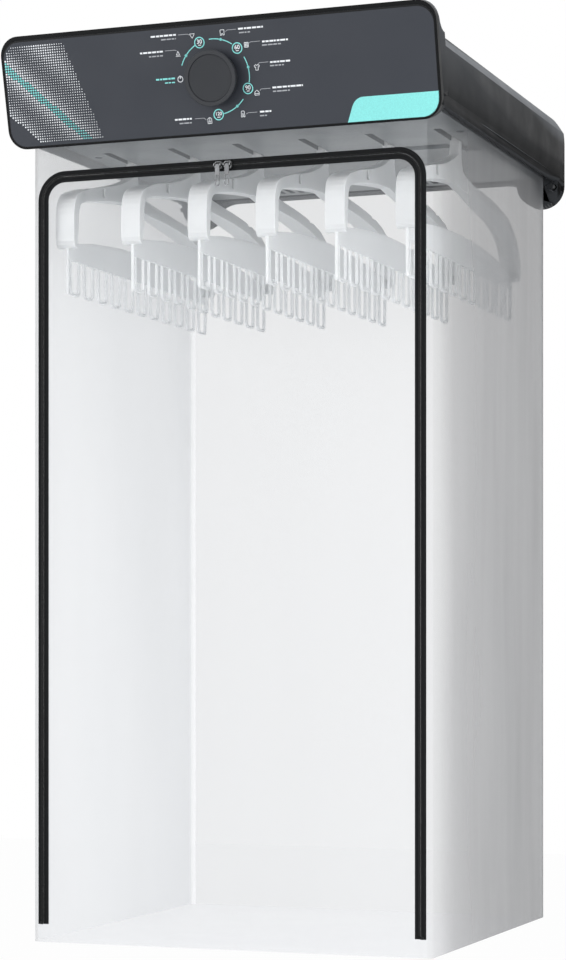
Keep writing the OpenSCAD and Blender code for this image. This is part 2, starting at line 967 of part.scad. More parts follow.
// Upright outline bounded by the zip's middle line moved outward by d
module zip_outline(d, bottom) {
    x = zip_x + d;
    top = zip_z + d;
    r = zip_r + d;
    translate([-x, bottom])
        square([2 * x, top - r - bottom]);
    translate([-x + r, bottom])
        square([2 * (x - r), top - bottom]);
    for (s = [-1, 1])
        translate([s * (x - r), top - r])
            circle(r);
}

zip_gap = 0.2;
tape_t = 0.6;
teeth_t = 1.4;
teeth_w = 2;
stop_h = 3.4;
wall_low = cover_floor_z + cover_t;
flat_x = cover_w / 2 - cover_r;

module cover_front() {
    color(film)
        along_y(cover_front_y + cover_t, cover_front_y)
            difference() {
                translate([-flat_x, wall_low])
                    square([2 * flat_x, rim_top - wall_low]);
                zip_outline(zip_gap, fold_z);
            }
}

module cover_flap() {
    color(film)
        along_y(cover_front_y + cover_t, cover_front_y)
            zip_outline(-zip_gap, fold_z + fit);
}

module cover_wall_ring() {
    translate([0, 0, wall_low])
        linear_extrude(rim_top - wall_low)
            difference() {
                cover_plan(0);
                cover_plan(cover_t);
            }
}

module cover_side(s) {
    color(film)
        intersection() {
            cover_wall_ring();
            translate([s * (flat_x + cover_w) / 2, -cover_out - cover_d / 2, 0])
                cube([cover_w - flat_x, cover_d + 2, 4 * cover_drop], center = true);
        }
}

module cover_left() {
    cover_side(-1);
}

module cover_right() {
    cover_side(1);
}

module cover_back() {
    color(film)
        translate([-flat_x, cover_back_y - cover_t, wall_low])
            cube([2 * flat_x, cover_t, rim_top - wall_low]);
}

module cover_floor() {
    color(film)
        translate([0, 0, cover_floor_z])
            linear_extrude(cover_t)
                cover_plan(0);
}

module zip_tape_outer() {
    color(black)
        along_y(cover_front_y, cover_front_y - tape_t)
            difference() {
                zip_outline(zip_w / 2, fold_z);
                zip_outline(zip_gap, fold_z - 1);
            }
}

module zip_tape_flap() {
    color(black)
        along_y(cover_front_y, cover_front_y - tape_t)
            difference() {
                zip_outline(-zip_gap, fold_z + fit);
                zip_outline(-zip_w / 2, fold_z - 1);
            }
}

module zip_teeth_outer() {
    front = cover_front_y - tape_t;
    color(black)
        along_y(front, front - teeth_t)
            difference() {
                zip_outline(zip_gap + teeth_w, fold_z + stop_h);
                zip_outline(zip_gap, fold_z);
            }
}

module zip_teeth_flap() {
    front = cover_front_y - tape_t;
    color(black)
        along_y(front, front - teeth_t)
            difference() {
                zip_outline(-zip_gap, fold_z + stop_h);
                zip_outline(-zip_gap - teeth_w, fold_z);
            }
}

module zip_stops() {
    front = cover_front_y - tape_t;
    color(black)
        both_sides()
            translate([zip_x + zip_gap, front - teeth_t, fold_z])
                cube([4, teeth_t, stop_h - fit]);
}

slider_l = 10;
slider_h = 9;
slider_mid = -3.5;
slider_step = 6.1;
pull_y = cover_front_y - 7.2;
pull_l = 26;
pull_w = 6;
pin_r = 0.6;

// The slider's body straddles the teeth; two ears hold the pin of its pull
module slider(x) {
    back = cover_front_y - tape_t - teeth_t - fit;
    color([0.8, 0.81, 0.82])
        translate([x, 0, zip_z]) {
            along_y(back, back - 2.6)
                rounded_rect(slider_l, slider_h, 2);
            for (s = [-1, 1])
                translate([-slider_l / 2 + 1, back - eps, s * 3.4 - 0.7])
                    cube([slider_l - 2, teeth_t + eps, 1.4]);
            for (s = [-1, 1])
                translate([s * 4, pull_y - 1.7, -1.7])
                    translate([-0.6, 0, 0])
                        cube([1.2, back - 2 - pull_y + 1.7, 3.4]);
            translate([-4, pull_y, 0])
                rotate([0, 90, 0])
                    cylinder(h = 8, r = pin_r);
        }
}

module pull(x) {
    color([0.88, 0.89, 0.9])
        translate([x, pull_y, zip_z])
            difference() {
                union() {
                    translate([-pull_w / 2, 0, 0])
                        rotate([0, 90, 0])
                            cylinder(h = pull_w, r = 1.5);
                    along_y(0.6, -0.6)
                        translate([0, -pull_l / 2 - 0.5])
                            rounded_rect(pull_w, pull_l - 1, 2.2);
                }
                translate([-pull_w, 0, 0])
                    rotate([0, 90, 0])
                        cylinder(h = 2 * pull_w, r = pin_r + run);
                along_y(2, -2)
                    translate([0, -pull_l + 6])
                        rounded_rect(2.6, 7, 1.2);
            }
}

module slider_left() {
    slider(slider_mid - slider_step);
}

module slider_right() {
    slider(slider_mid + slider_step);
}

module pull_left() {
    pull(slider_mid - slider_step);
}

module pull_right() {
    pull(slider_mid + slider_step);
}

// Hangers

neck_back_y = -slot_out - fit;
neck_l = 12;
neck_y = neck_back_y - neck_l / 2;
neck_w = slot_w - 2;
neck_half = neck_w / 2 + 2;
neck_low = tray_bot - 0.22 * hanger_fall;
head_l = 22;
tip_front_y = cover_front_y + 13;
tip_back_y = cover_back_y - 30;
comb_low = tray_bot - hanger_fall;
comb_front_y = tip_front_y + 6;
comb_back_y = tip_back_y - 7;
comb_h = 20;
comb_rise = 23;
loop_n = floor((comb_back_y - comb_front_y - loop_w - loop_leg) / loop_pitch) + 1;

// A point at the share u of the way from a tip to the neck, and w of the way down to the comb
function at_front(u, w) =
    [tip_front_y + u * (neck_back_y - neck_l - tip_front_y), tray_bot - w * hanger_fall];
function at_back(u, w) = [tip_back_y + u * (neck_back_y - tip_back_y), tray_bot - w * hanger_fall];

// Upper edge of the shoulders, from the front tip over the neck to the rear tip
outer_edge = concat(
    curve(at_front(0.05, 0.91), at_front(0.01, 0.91), at_front(0, 0.88), at_front(0, 0.81), 4),
    curve(at_front(0, 0.7), at_front(0, 0.52), at_front(0.035, 0.47), at_front(0.13, 0.43), 8),
    curve(at_front(0.29, 0.37), at_front(0.54, 0.31), at_front(0.8, 0.24), at_front(0.98, 0.13), 6),
    [at_front(1, 0.05), at_back(1, 0.05), at_back(1, 0.14)],
    curve(at_back(0.98, 0.24), at_back(0.85, 0.34), at_back(0.53, 0.35), at_back(0.33, 0.41), 8),
    curve(at_back(0.22, 0.45), at_back(0.04, 0.57), at_back(0, 0.77), at_back(0, 0.85), 8),
    [at_back(0.01, 0.91), at_back(0.04, 0.94), at_back(0.08, 0.94)]);
// Lower edge of the shoulders, from the rear tip back to the front tip
inner_edge = concat(
    curve(at_back(0.05, 0.86), at_back(0.06, 0.7), at_back(0.14, 0.57), at_back(0.28, 0.52), 8),
    curve(at_back(0.38, 0.48), at_back(0.61, 0.43), at_back(0.85, 0.41), at_back(1, 0.39), 6),
    curve(at_front(0.95, 0.37), at_front(0.65, 0.4), at_front(0.39, 0.45), at_front(0.19, 0.5), 6),
    curve(at_front(0.14, 0.52), at_front(0.066, 0.55), at_front(0.066, 0.64),
        at_front(0.066, 0.73), 6));

// Side outline of the shoulders, inset by i
module shoulder_side(i) {
    if (i > 0)
        intersection() {
            shoulder_side_shifted(i, 0);
            shoulder_side_shifted(-i, 0);
            shoulder_side_shifted(0, i);
            shoulder_side_shifted(0, -i);
        }
    else
        shoulder_side_shifted(0, 0);
}

module shoulder_side_shifted(y, z) {
    translate([y, z])
        polygon(concat(outer_edge, inner_edge));
}

// Plan of the shoulders, inset by i: narrow at the neck, full width towards both tips
module shoulder_plan(i) {
    full = shoulder_w / 2 - i;
    slim = neck_half - i;
    front_flare = curve([full, at_front(0.45, 0)[0]], [full, at_front(0.7, 0)[0]],
        [slim, at_front(0.75, 0)[0]], [slim, neck_back_y - neck_l], 8);
    back_flare = curve([slim, neck_back_y], [slim, at_back(0.8, 0)[0]],
        [full, at_back(0.75, 0)[0]], [full, at_back(0.5, 0)[0]], 8);
    both_sides()
        polygon(concat([[-eps, tip_front_y - 1], [full, tip_front_y - 1]], front_flare, back_flare,
            [[full, tip_back_y + 1], [-eps, tip_back_y + 1]]));
}

module shoulders(i) {
    intersection() {
        across(shoulder_w)
            shoulder_side(i);
        translate([0, 0, comb_low])
            linear_extrude(hanger_fall)
                shoulder_plan(i);
    }
}

module hanger(k) {
    x = (k - 3.5) * slot_pitch;
    color(milky)
        translate([x, 0, 0]) {
            difference() {
                shoulders(0);
                shoulders(shoulder_t);
                for (p = [at_front(0.44, 0.375), at_back(0.375, 0.375)])
                    translate([0, p[0], p[1]])
                        cube([shoulder_w + 2, 9, 12], center = true);
            }
            translate([-neck_half, neck_back_y - neck_l, neck_low])
                cube([2 * neck_half, neck_l, tray_bot - fit - neck_low]);
            translate([-neck_w / 2, neck_back_y - neck_l, tray_bot - fit - eps])
                cube([neck_w, neck_l, tray_t + collar_h + rail_t + 2 * fit + 2 * eps]);
            translate([-head_l / 2, neck_back_y - neck_l + 1, rail_z + rail_t + fit])
                cube([head_l, neck_l - 2, 5]);
            comb();
        }
}

// Flat plate between the tips with a row of loops for small pieces below it
module comb() {
    l = comb_back_y - comb_front_y;
    across(comb_t) {
        polygon(concat([[comb_front_y, comb_low], [comb_front_y, comb_low + comb_h]],
            curve([comb_front_y + 0.02 * l, comb_low + comb_h],
                [comb_front_y + 0.27 * l, comb_low + comb_h + comb_rise],
                [comb_back_y - 0.29 * l, comb_low + comb_h + comb_rise],
                [comb_back_y - 0.02 * l, comb_low + comb_h], 12),
            [[comb_back_y, comb_low + comb_h], [comb_back_y, comb_low]]));
        translate([comb_front_y, comb_low - loop_h])
            square([loop_leg, loop_h + 1]);
        for (j = [0:loop_n - 1])
            translate([comb_back_y - 1.5 - loop_w / 2 - j * loop_pitch, comb_low - loop_h / 2 + 3])
                difference() {
                    rounded_rect(loop_w, loop_h + 6, 7);
                    rounded_rect(loop_w - 2 * loop_leg, loop_h + 6 - 2 * loop_leg, 4);
                }
    }
}

module hanger_1() {
    hanger(1);
}

module hanger_2() {
    hanger(2);
}

module hanger_3() {
    hanger(3);
}

module hanger_4() {
    hanger(4);
}

module hanger_5() {
    hanger(5);
}

module hanger_6() {
    hanger(6);
}

head_casing();
intake_grille();
rear_panel();
rear_screws();
wall_pads();
lobe_screws();
wall_bracket();
fascia_frame();
fascia_panel();
timer_body();
timer_shaft();
knob();
knob_ring();
tray();
tray_screws();
slot_rail();
rail_screws();
fan_housing();
fan_motor();
motor_screws();
fan_wheel();
fan_shaft();
heater_frame();
heater_rods();
thermostat();
thermal_fuse();
terminal_block();
cord_gland();
cover_hem();
cover_front();
cover_left();
cover_right();
cover_back();
cover_floor();
cover_flap();
zip_tape_outer();
zip_tape_flap();
zip_teeth_outer();
zip_teeth_flap();
zip_stops();
slider_left();
slider_right();
pull_left();
pull_right();
hanger_1();
hanger_2();
hanger_3();
hanger_4();
hanger_5();
hanger_6();
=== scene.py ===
import math
import random

import bmesh
import bpy
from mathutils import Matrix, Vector


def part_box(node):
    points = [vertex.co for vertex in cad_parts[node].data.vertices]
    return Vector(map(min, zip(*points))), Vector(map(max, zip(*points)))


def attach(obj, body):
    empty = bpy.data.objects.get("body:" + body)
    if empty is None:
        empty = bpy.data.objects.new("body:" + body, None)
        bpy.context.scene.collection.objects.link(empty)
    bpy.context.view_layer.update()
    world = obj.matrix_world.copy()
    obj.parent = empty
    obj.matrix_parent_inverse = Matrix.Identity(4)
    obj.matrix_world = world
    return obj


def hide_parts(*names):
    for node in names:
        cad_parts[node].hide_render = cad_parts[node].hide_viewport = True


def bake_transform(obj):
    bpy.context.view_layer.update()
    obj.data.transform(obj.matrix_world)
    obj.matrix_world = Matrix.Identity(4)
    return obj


# Camera at the photograph's viewing angle: it stands right of the dryer and below its
# head, with a level lens shifted upwards, so that upright edges stay upright.
camera_data = bpy.data.cameras.new("camera")
camera_data.lens = 95.87
camera_data.sensor_width = 36.0
camera_data.shift_x = -0.02365
camera_data.shift_y = 0.17721
camera = bpy.data.objects.new("camera", camera_data)
camera.location = (1.16448, -3.40156, -0.67235)
camera.rotation_euler = (math.radians(90), 0, math.radians(20.3783))
bpy.context.scene.collection.objects.link(camera)
bpy.context.scene.camera = camera
bpy.context.scene.view_settings.view_transform = "Standard"

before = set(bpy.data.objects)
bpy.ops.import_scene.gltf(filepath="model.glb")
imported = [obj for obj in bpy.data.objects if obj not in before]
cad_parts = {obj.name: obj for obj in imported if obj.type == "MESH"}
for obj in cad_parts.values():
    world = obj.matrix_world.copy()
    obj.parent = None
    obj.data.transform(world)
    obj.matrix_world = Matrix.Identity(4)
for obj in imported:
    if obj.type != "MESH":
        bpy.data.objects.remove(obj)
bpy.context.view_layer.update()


# Room: a plain pale floor under the hanging dryer and an even white surround. Soft boxes
# light it from the left front, the front and above, and a tall narrow one from the right.
def rays_that_see_white(tree):
    light_path = tree.nodes.new("ShaderNodeLightPath")
    seen = tree.nodes.new("ShaderNodeMath")
    seen.operation = "MAXIMUM"
    tree.links.new(light_path.outputs["Is Camera Ray"], seen.inputs[0])
    tree.links.new(light_path.outputs["Is Transmission Ray"], seen.inputs[1])
    also = tree.nodes.new("ShaderNodeMath")
    also.operation = "MAXIMUM"
    tree.links.new(seen.outputs[0], also.inputs[0])
    tree.links.new(light_path.outputs["Is Glossy Ray"], also.inputs[1])
    return also.outputs[0]


world = bpy.data.worlds.new("surround")
bpy.context.scene.world = world
world.use_nodes = True
world.node_tree.nodes.clear()
room_light = world.node_tree.nodes.new("ShaderNodeBackground")
room_light.inputs["Color"].default_value = (0.93, 0.96, 1.0, 1)
room_light.inputs["Strength"].default_value = 0.52
white_room = world.node_tree.nodes.new("ShaderNodeBackground")
white_room.inputs["Color"].default_value = (1, 1, 1, 1)
white_room.inputs["Strength"].default_value = 1.0
pick = world.node_tree.nodes.new("ShaderNodeMixShader")
world_out = world.node_tree.nodes.new("ShaderNodeOutputWorld")
world.node_tree.links.new(rays_that_see_white(world.node_tree), pick.inputs[0])
world.node_tree.links.new(room_light.outputs[0], pick.inputs[1])
world.node_tree.links.new(white_room.outputs[0], pick.inputs[2])
world.node_tree.links.new(pick.outputs[0], world_out.inputs["Surface"])

FLOOR_Z = -2.1
FLOOR_REACH = 14.0
floor_mesh = bpy.data.meshes.new("floor")
floor_mesh.from_pydata(
    [(-FLOOR_REACH, -FLOOR_REACH, FLOOR_Z), (FLOOR_REACH, -FLOOR_REACH, FLOOR_Z),
     (FLOOR_REACH, FLOOR_REACH, FLOOR_Z), (-FLOOR_REACH, FLOOR_REACH, FLOOR_Z)],
    [], [(0, 1, 2, 3)])
floor = bpy.data.objects.new("floor", floor_mesh)
bpy.context.scene.collection.objects.link(floor)
floor_paint = bpy.data.materials.new("floor_paint")
floor_paint.use_nodes = True
paint = floor_paint.node_tree
matt = paint.nodes["Principled BSDF"]
matt.inputs["Base Color"].default_value = (0.86, 0.87, 0.88, 1)
matt.inputs["Roughness"].default_value = 0.7
own_light = paint.nodes.new("ShaderNodeEmission")
own_light.inputs["Strength"].default_value = 1.0
own_share = paint.nodes.new("ShaderNodeMath")
own_share.operation = "MULTIPLY"
own_share.inputs[1].default_value = 0.97
paint.links.new(rays_that_see_white(paint), own_share.inputs[0])
floor_mix = paint.nodes.new("ShaderNodeMixShader")
paint.links.new(own_share.outputs[0], floor_mix.inputs[0])
paint.links.new(matt.outputs[0], floor_mix.inputs[1])
paint.links.new(own_light.outputs[0], floor_mix.inputs[2])
paint.links.new(floor_mix.outputs[0], paint.nodes["Material Output"].inputs["Surface"])
floor_mesh.materials.append(floor_paint)


def soft_box(name, place, aim, width, height, watts):
    lamp = bpy.data.lights.new(name, "AREA")
    lamp.shape = "RECTANGLE"
    lamp.size = width
    lamp.size_y = height
    lamp.energy = watts
    lamp_object = bpy.data.objects.new(name, lamp)
    lamp_object.location = place
    direction = Vector(aim) - Vector(place)
    lamp_object.rotation_euler = direction.to_track_quat("-Z", "Y").to_euler()
    lamp_object.visible_camera = False
    bpy.context.scene.collection.objects.link(lamp_object)


soft_box("key_box", (-2.0, -3.3, 0.2), (0, -0.3, -0.45), 2.2, 2.4, 58)
soft_box("front_box", (0.4, -3.9, -0.9), (0, -0.5, -0.6), 1.8, 2.0, 28)
soft_box("top_box", (0.4, -0.4, 2.2), (0, -0.3, 0), 1.8, 1.4, 26)
soft_box("side_box", (0.86, -0.75, -0.45), (0.26, -0.45, -0.45), 0.25, 2.0, 6.0)


# Head casing: the injection-moulded shell, its air intake grille and the rear panel.
# Satin charcoal plastic with a fine spark-eroded grain, glued and screwed from inside.
def add(tree, kind, **settings):
    made = tree.nodes.new(kind)
    for key, value in settings.items():
        setattr(made, key, value)
    return made


def put(made, name, value):
    made.inputs[name].default_value = value


def group_with(name, ins, outs):
    tree = bpy.data.node_groups.new(name, "ShaderNodeTree")
    for label, kind, value in ins:
        socket = tree.interface.new_socket(name=label, in_out="INPUT", socket_type=kind)
        socket.default_value = value
    for label, kind in outs:
        tree.interface.new_socket(name=label, in_out="OUTPUT", socket_type=kind)
    return tree, tree.nodes.new("NodeGroupInput"), tree.nodes.new("NodeGroupOutput")


def noise_at(tree, vector, scale, detail, rough=0.5):
    noise = add(tree, "ShaderNodeTexNoise")
    put(noise, "Scale", scale)
    put(noise, "Detail", detail)
    put(noise, "Roughness", rough)
    tree.links.new(vector, noise.inputs["Vector"])
    return noise.outputs["Fac"]


def ranged(tree, value, low, high, to_low, to_high):
    span = add(tree, "ShaderNodeMapRange")
    tree.links.new(value, span.inputs["Value"])
    for name, number in (("From Min", low), ("From Max", high), ("To Min", to_low),
                         ("To Max", to_high)):
        put(span, name, number)
    return span.outputs[0]


def maths(tree, operation, a, b=None):
    made = add(tree, "ShaderNodeMath", operation=operation)
    for k, value in enumerate((a, b)):
        if value is None:
            continue
        if isinstance(value, (int, float)):
            made.inputs[k].default_value = value
        else:
            tree.links.new(value, made.inputs[k])
    return made.outputs[0]


# Moulded finish: grain height, a cloudy change of tone, and dust that settles on what
# faces upwards.
moulded, m_in, m_out = group_with(
    "moulded_finish",
    [("Base", "NodeSocketColor", (0.5, 0.5, 0.5, 1)), ("Grain", "NodeSocketFloat", 900.0),
     ("Tone", "NodeSocketFloat", 0.06), ("Dust", "NodeSocketFloat", 0.05),
     ("Gloss", "NodeSocketFloat", 0.45)],
    [("Color", "NodeSocketColor"), ("Roughness", "NodeSocketFloat"),
     ("Height", "NodeSocketFloat")])
m_place = add(moulded, "ShaderNodeTexCoord").outputs["Object"]
cloud = noise_at(moulded, m_place, 7.0, 4.0)
fine = add(moulded, "ShaderNodeTexNoise")
put(fine, "Detail", 2.0)
moulded.links.new(m_place, fine.inputs["Vector"])
moulded.links.new(m_in.outputs["Grain"], fine.inputs["Scale"])
light_shift = ranged(moulded, cloud, 0.3, 0.7, -1.0, 1.0)
tone_shift = maths(moulded, "MULTIPLY", light_shift, m_in.outputs["Tone"])
toned = add(moulded, "ShaderNodeVectorMath", operation="SCALE")
moulded.links.new(m_in.outputs["Base"], toned.inputs[0])
moulded.links.new(maths(moulded, "ADD", tone_shift, 1.0), toned.inputs["Scale"])
facing_up = add(moulded, "ShaderNodeSeparateXYZ")
moulded.links.new(add(moulded, "ShaderNodeNewGeometry").outputs["Normal"], facing_up.inputs[0])
up = ranged(moulded, facing_up.outputs["Z"], 0.5, 1.0, 0.0, 1.0)
specks = ranged(moulded, noise_at(moulded, m_place, 60.0, 5.0, 0.7), 0.45, 0.75, 0.3, 1.0)
dust = maths(moulded, "MULTIPLY", maths(moulded, "MULTIPLY", up, specks), m_in.outputs["Dust"])
dusted = add(moulded, "ShaderNodeMix", data_type="RGBA")
moulded.links.new(dust, dusted.inputs["Factor"])
moulded.links.new(toned.outputs[0], dusted.inputs["A"])
dusted.inputs["B"].default_value = (0.55, 0.54, 0.52, 1)
handled = ranged(moulded, noise_at(moulded, m_place, 18.0, 3.0), 0.35, 0.65, -0.05, 0.05)
rubbed = maths(moulded, "ADD", m_in.outputs["Gloss"], handled)
moulded.links.new(dusted.outputs["Result"], m_out.inputs["Color"])
moulded.links.new(maths(moulded, "ADD", rubbed, dust), m_out.inputs["Roughness"])
moulded.links.new(fine.outputs["Fac"], m_out.inputs["Height"])


def bumped(tree, height, strength, distance):
    bump = add(tree, "ShaderNodeBump")
    put(bump, "Strength", strength)
    put(bump, "Distance", distance)
    tree.links.new(height, bump.inputs["Height"])
    return bump.outputs["Normal"]


def plastic(name, base, gloss, grain, tone=0.06, dust=0.05, relief=0.12, specular=0.5):
    made = bpy.data.materials.new(name)
    made.use_nodes = True
    tree = made.node_tree
    body = tree.nodes["Principled BSDF"]
    finish = add(tree, "ShaderNodeGroup", node_tree=moulded)
    put(finish, "Base", (*base, 1))
    put(finish, "Grain", grain)
    put(finish, "Tone", tone)
    put(finish, "Dust", dust)
    put(finish, "Gloss", gloss)
    put(body, "Specular IOR Level", specular)
    tree.links.new(finish.outputs["Color"], body.inputs["Base Color"])
    tree.links.new(finish.outputs["Roughness"], body.inputs["Roughness"])
    tree.links.new(bumped(tree, finish.outputs["Height"], relief, 0.0004), body.inputs["Normal"])
    return made


def finish_node(name, material):
    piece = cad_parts[name]
    piece.data.materials.clear()
    piece.data.materials.append(material)


casing_plastic = plastic("casing_plastic", (0.036, 0.038, 0.041), 0.42, grain=1400, tone=0.02,
                         dust=0.03, specular=0.015)
# Painted shade and highlight: its sides are darkened towards the lower edge and the wall,
# and the bevel above them is lightened. The tones are shares of the plastic's own colour,
# by place in metres and by facing.
casing_tree = casing_plastic.node_tree
casing_body = casing_tree.nodes["Principled BSDF"]
even_tone = casing_body.inputs["Base Color"].links[0].from_socket
casing_at = add(casing_tree, "ShaderNodeTexCoord")
casing_place = add(casing_tree, "ShaderNodeSeparateXYZ")
casing_tree.links.new(casing_at.outputs["Object"], casing_place.inputs[0])
casing_way = add(casing_tree, "ShaderNodeSeparateXYZ")
casing_tree.links.new(casing_at.outputs["Normal"], casing_way.inputs[0])
painted_low_shade = ranged(casing_tree, casing_place.outputs["Z"], -0.02, 0.065, 0.27, 1.42)
painted_rear_shade = ranged(casing_tree, casing_place.outputs["Y"], -0.5, -0.06, 1.25, 0.45)
sideways = maths(casing_tree, "ABSOLUTE", casing_way.outputs["X"])
on_side = ranged(casing_tree, sideways, 0.75, 0.9, 0.0, 1.0)
painted_bevel_highlight = maths(casing_tree, "MULTIPLY", ranged(casing_tree, sideways, 0.3, 0.45, 0.0, 1.0),
                 ranged(casing_tree, casing_way.outputs["Z"], 0.3, 0.45, 0.0, 2.8))
painted_side_shade = add(casing_tree, "ShaderNodeMix", data_type="FLOAT")
casing_tree.links.new(on_side, painted_side_shade.inputs["Factor"])
put(painted_side_shade, "A", 1.0)
casing_tree.links.new(maths(casing_tree, "MULTIPLY", painted_low_shade, painted_rear_shade),
                      painted_side_shade.inputs["B"])
painted_shading = add(casing_tree, "ShaderNodeVectorMath", operation="SCALE")
casing_tree.links.new(even_tone, painted_shading.inputs[0])
casing_tree.links.new(maths(casing_tree, "ADD", painted_side_shade.outputs["Result"], painted_bevel_highlight),
                      painted_shading.inputs["Scale"])
casing_tree.links.new(painted_shading.outputs[0], casing_body.inputs["Base Color"])
for part in ("intake_grille", "rear_panel"):
    finish_node(part, casing_plastic)


def casing_shell():
    """The casing with its lower side edges drawn in to a soft turn-under."""
    turn_top, turn_low, draw_in, lift = -0.012, -0.038, 0.008, 0.002
    side_x, hood_y, lobe_y = 0.268, -0.545, -0.0315
    same_point = 0.00001
    shell = bmesh.new()
    shell.from_mesh(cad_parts["head_casing"].data)
    bmesh.ops.remove_doubles(shell, verts=shell.verts, dist=same_point)
    for height in (turn_top, -0.018, -0.024, -0.030, -0.034):
        parts = shell.verts[:] + shell.edges[:] + shell.faces[:]
        bmesh.ops.bisect_plane(shell, geom=parts, dist=same_point, plane_co=(0, 0, height),
                               plane_no=(0, 0, 1))
    for v in shell.verts:
        beside = abs(v.co.x) > side_x and hood_y < v.co.y < lobe_y
        if beside and v.co.z < turn_top:
            t = (turn_top - v.co.z) / (turn_top - turn_low)
            v.co.x -= math.copysign(draw_in * t ** 1.7, v.co.x)
            v.co.z += lift * t
    mesh = bpy.data.meshes.new("casing_shell")
    shell.to_mesh(mesh)
    shell.free()
    mesh.polygons.foreach_set("use_smooth", [True] * len(mesh.polygons))
    mesh.set_sharp_from_angle(angle=math.radians(28))
    mesh.materials.clear()
    mesh.materials.append(casing_plastic)
    made = bpy.data.objects.new("casing_shell", mesh)
    bpy.context.scene.collection.objects.link(made)
    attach(made, "dryer")
    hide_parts("head_casing")


casing_shell()

# Wall side: the folded, zinc-plated bracket that the head hooks on to, the rubber pads
# that keep the head off the wall, and the pan-head screws of the rear panel and lobes.
metal_finish, z_in, z_out = group_with(
    "plated_finish",
    [("Base", "NodeSocketColor", (0.6, 0.6, 0.6, 1)), ("Gloss", "NodeSocketFloat", 0.35),
     ("Spangle", "NodeSocketFloat", 60.0)],
    [("Color", "NodeSocketColor"), ("Roughness", "NodeSocketFloat"),
     ("Height", "NodeSocketFloat")])
metal_place = add(metal_finish, "ShaderNodeTexCoord").outputs["Object"]
crystals = add(metal_finish, "ShaderNodeTexVoronoi")
metal_finish.links.new(metal_place, crystals.inputs["Vector"])
metal_finish.links.new(z_in.outputs["Spangle"], crystals.inputs["Scale"])
crystal_grey = add(metal_finish, "ShaderNodeSeparateColor")
metal_finish.links.new(crystals.outputs["Color"], crystal_grey.inputs[0])
shade = ranged(metal_finish, crystal_grey.outputs[0], 0, 1, 0.9, 1.08)
metal_tone = add(metal_finish, "ShaderNodeVectorMath", operation="SCALE")
metal_finish.links.new(z_in.outputs["Base"], metal_tone.inputs[0])
metal_finish.links.new(shade, metal_tone.inputs["Scale"])
rub = ranged(metal_finish, noise_at(metal_finish, metal_place, 90, 3), 0.3, 0.7, -0.07, 0.1)
metal_finish.links.new(metal_tone.outputs[0], z_out.inputs["Color"])
metal_finish.links.new(maths(metal_finish, "ADD", z_in.outputs["Gloss"], rub),
                       z_out.inputs["Roughness"])
metal_finish.links.new(noise_at(metal_finish, metal_place, 1600, 1), z_out.inputs["Height"])


def metal(name, base, gloss, spangle=60.0):
    made = bpy.data.materials.new(name)
    made.use_nodes = True
    tree = made.node_tree
    body = tree.nodes["Principled BSDF"]
    put(body, "Metallic", 1.0)
    finish = add(tree, "ShaderNodeGroup", node_tree=metal_finish)
    put(finish, "Base", (*base, 1))
    put(finish, "Gloss", gloss)
    put(finish, "Spangle", spangle)
    tree.links.new(finish.outputs["Color"], body.inputs["Base Color"])
    tree.links.new(finish.outputs["Roughness"], body.inputs["Roughness"])
    tree.links.new(bumped(tree, finish.outputs["Height"], 0.06, 0.0002), body.inputs["Normal"])
    return made


zinc = metal("zinc_plate", (0.62, 0.63, 0.65), 0.34)
black_oxide = metal("black_oxide", (0.05, 0.052, 0.055), 0.5, 300)
black_rubber = plastic("black_rubber", (0.018, 0.018, 0.019), 0.62, grain=2600, relief=0.2)
for part in ("wall_bracket", "rear_screws", "tray_screws", "rail_screws", "motor_screws"):
    finish_node(part, zinc)
# Black oxide on the slot rail darkens the slots: painted shade. The lobe screws are black oxide.
for part in ("lobe_screws", "slot_rail"):
    finish_node(part, black_oxide)
for part in ("wall_pads", "cord_gland"):
    finish_node(part, black_rubber)

# Fascia: a black bezel moulded in one ring, clipped to the casing's front, round a slate
# panel of sheet plastic that is printed with the dial and the marks below.
bezel_plastic = plastic("bezel_plastic", (0.0055, 0.006, 0.0065), 0.36, grain=2200, tone=0.03,
                        dust=0.0, relief=0.04, specular=0.06)
panel_plastic = plastic("panel_plastic", (0.0348, 0.0384, 0.047), 0.42, grain=3200, tone=0.02,
                        dust=0.0, relief=0.05, specular=0.15)
finish_node("fascia_frame", bezel_plastic)
finish_node("fascia_panel", panel_plastic)

# Printed marks of the panel: thin layers of ink that lie on its face. Positions are in
# the panel's own plane, X across and U up its slope, in millimetres from the middle.
mm = 0.001
TILT = math.radians(13.3)
FACE_MIDDLE = Vector((0, -577.8, 12)) * mm
INK_LIFT = 0.06
ROUND_SIDES = 32
ARC_STEPS = 18
FINE_W = 0.6


def on_face(x, u):
    across = Vector((1, 0, 0))
    slope = Vector((0, -math.sin(TILT), math.cos(TILT)))
    outward = Vector((0, -math.cos(TILT), -math.sin(TILT)))
    return FACE_MIDDLE + (across * x + slope * u + outward * INK_LIFT) * mm


def ink(name, colour):
    made = bpy.data.materials.new(name)
    made.use_nodes = True
    tree = made.node_tree
    body = tree.nodes["Principled BSDF"]
    where = add(tree, "ShaderNodeTexCoord").outputs["Object"]
    thin = ranged(tree, noise_at(tree, where, 700, 3), 0.3, 0.7, 0.9, 1.04)
    tinted = add(tree, "ShaderNodeVectorMath", operation="SCALE")
    tinted.inputs[0].default_value = colour
    tree.links.new(thin, tinted.inputs["Scale"])
    tree.links.new(tinted.outputs[0], body.inputs["Base Color"])
    put(body, "Roughness", 0.38)
    put(body, "Specular IOR Level", 0.12)
    return made


white_ink = ink("white_ink", (0.78, 0.8, 0.82))
black_ink = ink("black_ink", (0.006, 0.0065, 0.007))
grey_ink = ink("grey_ink", (0.36, 0.37, 0.39))
mint_ink = ink("mint_ink", (0.235, 0.68, 0.65))


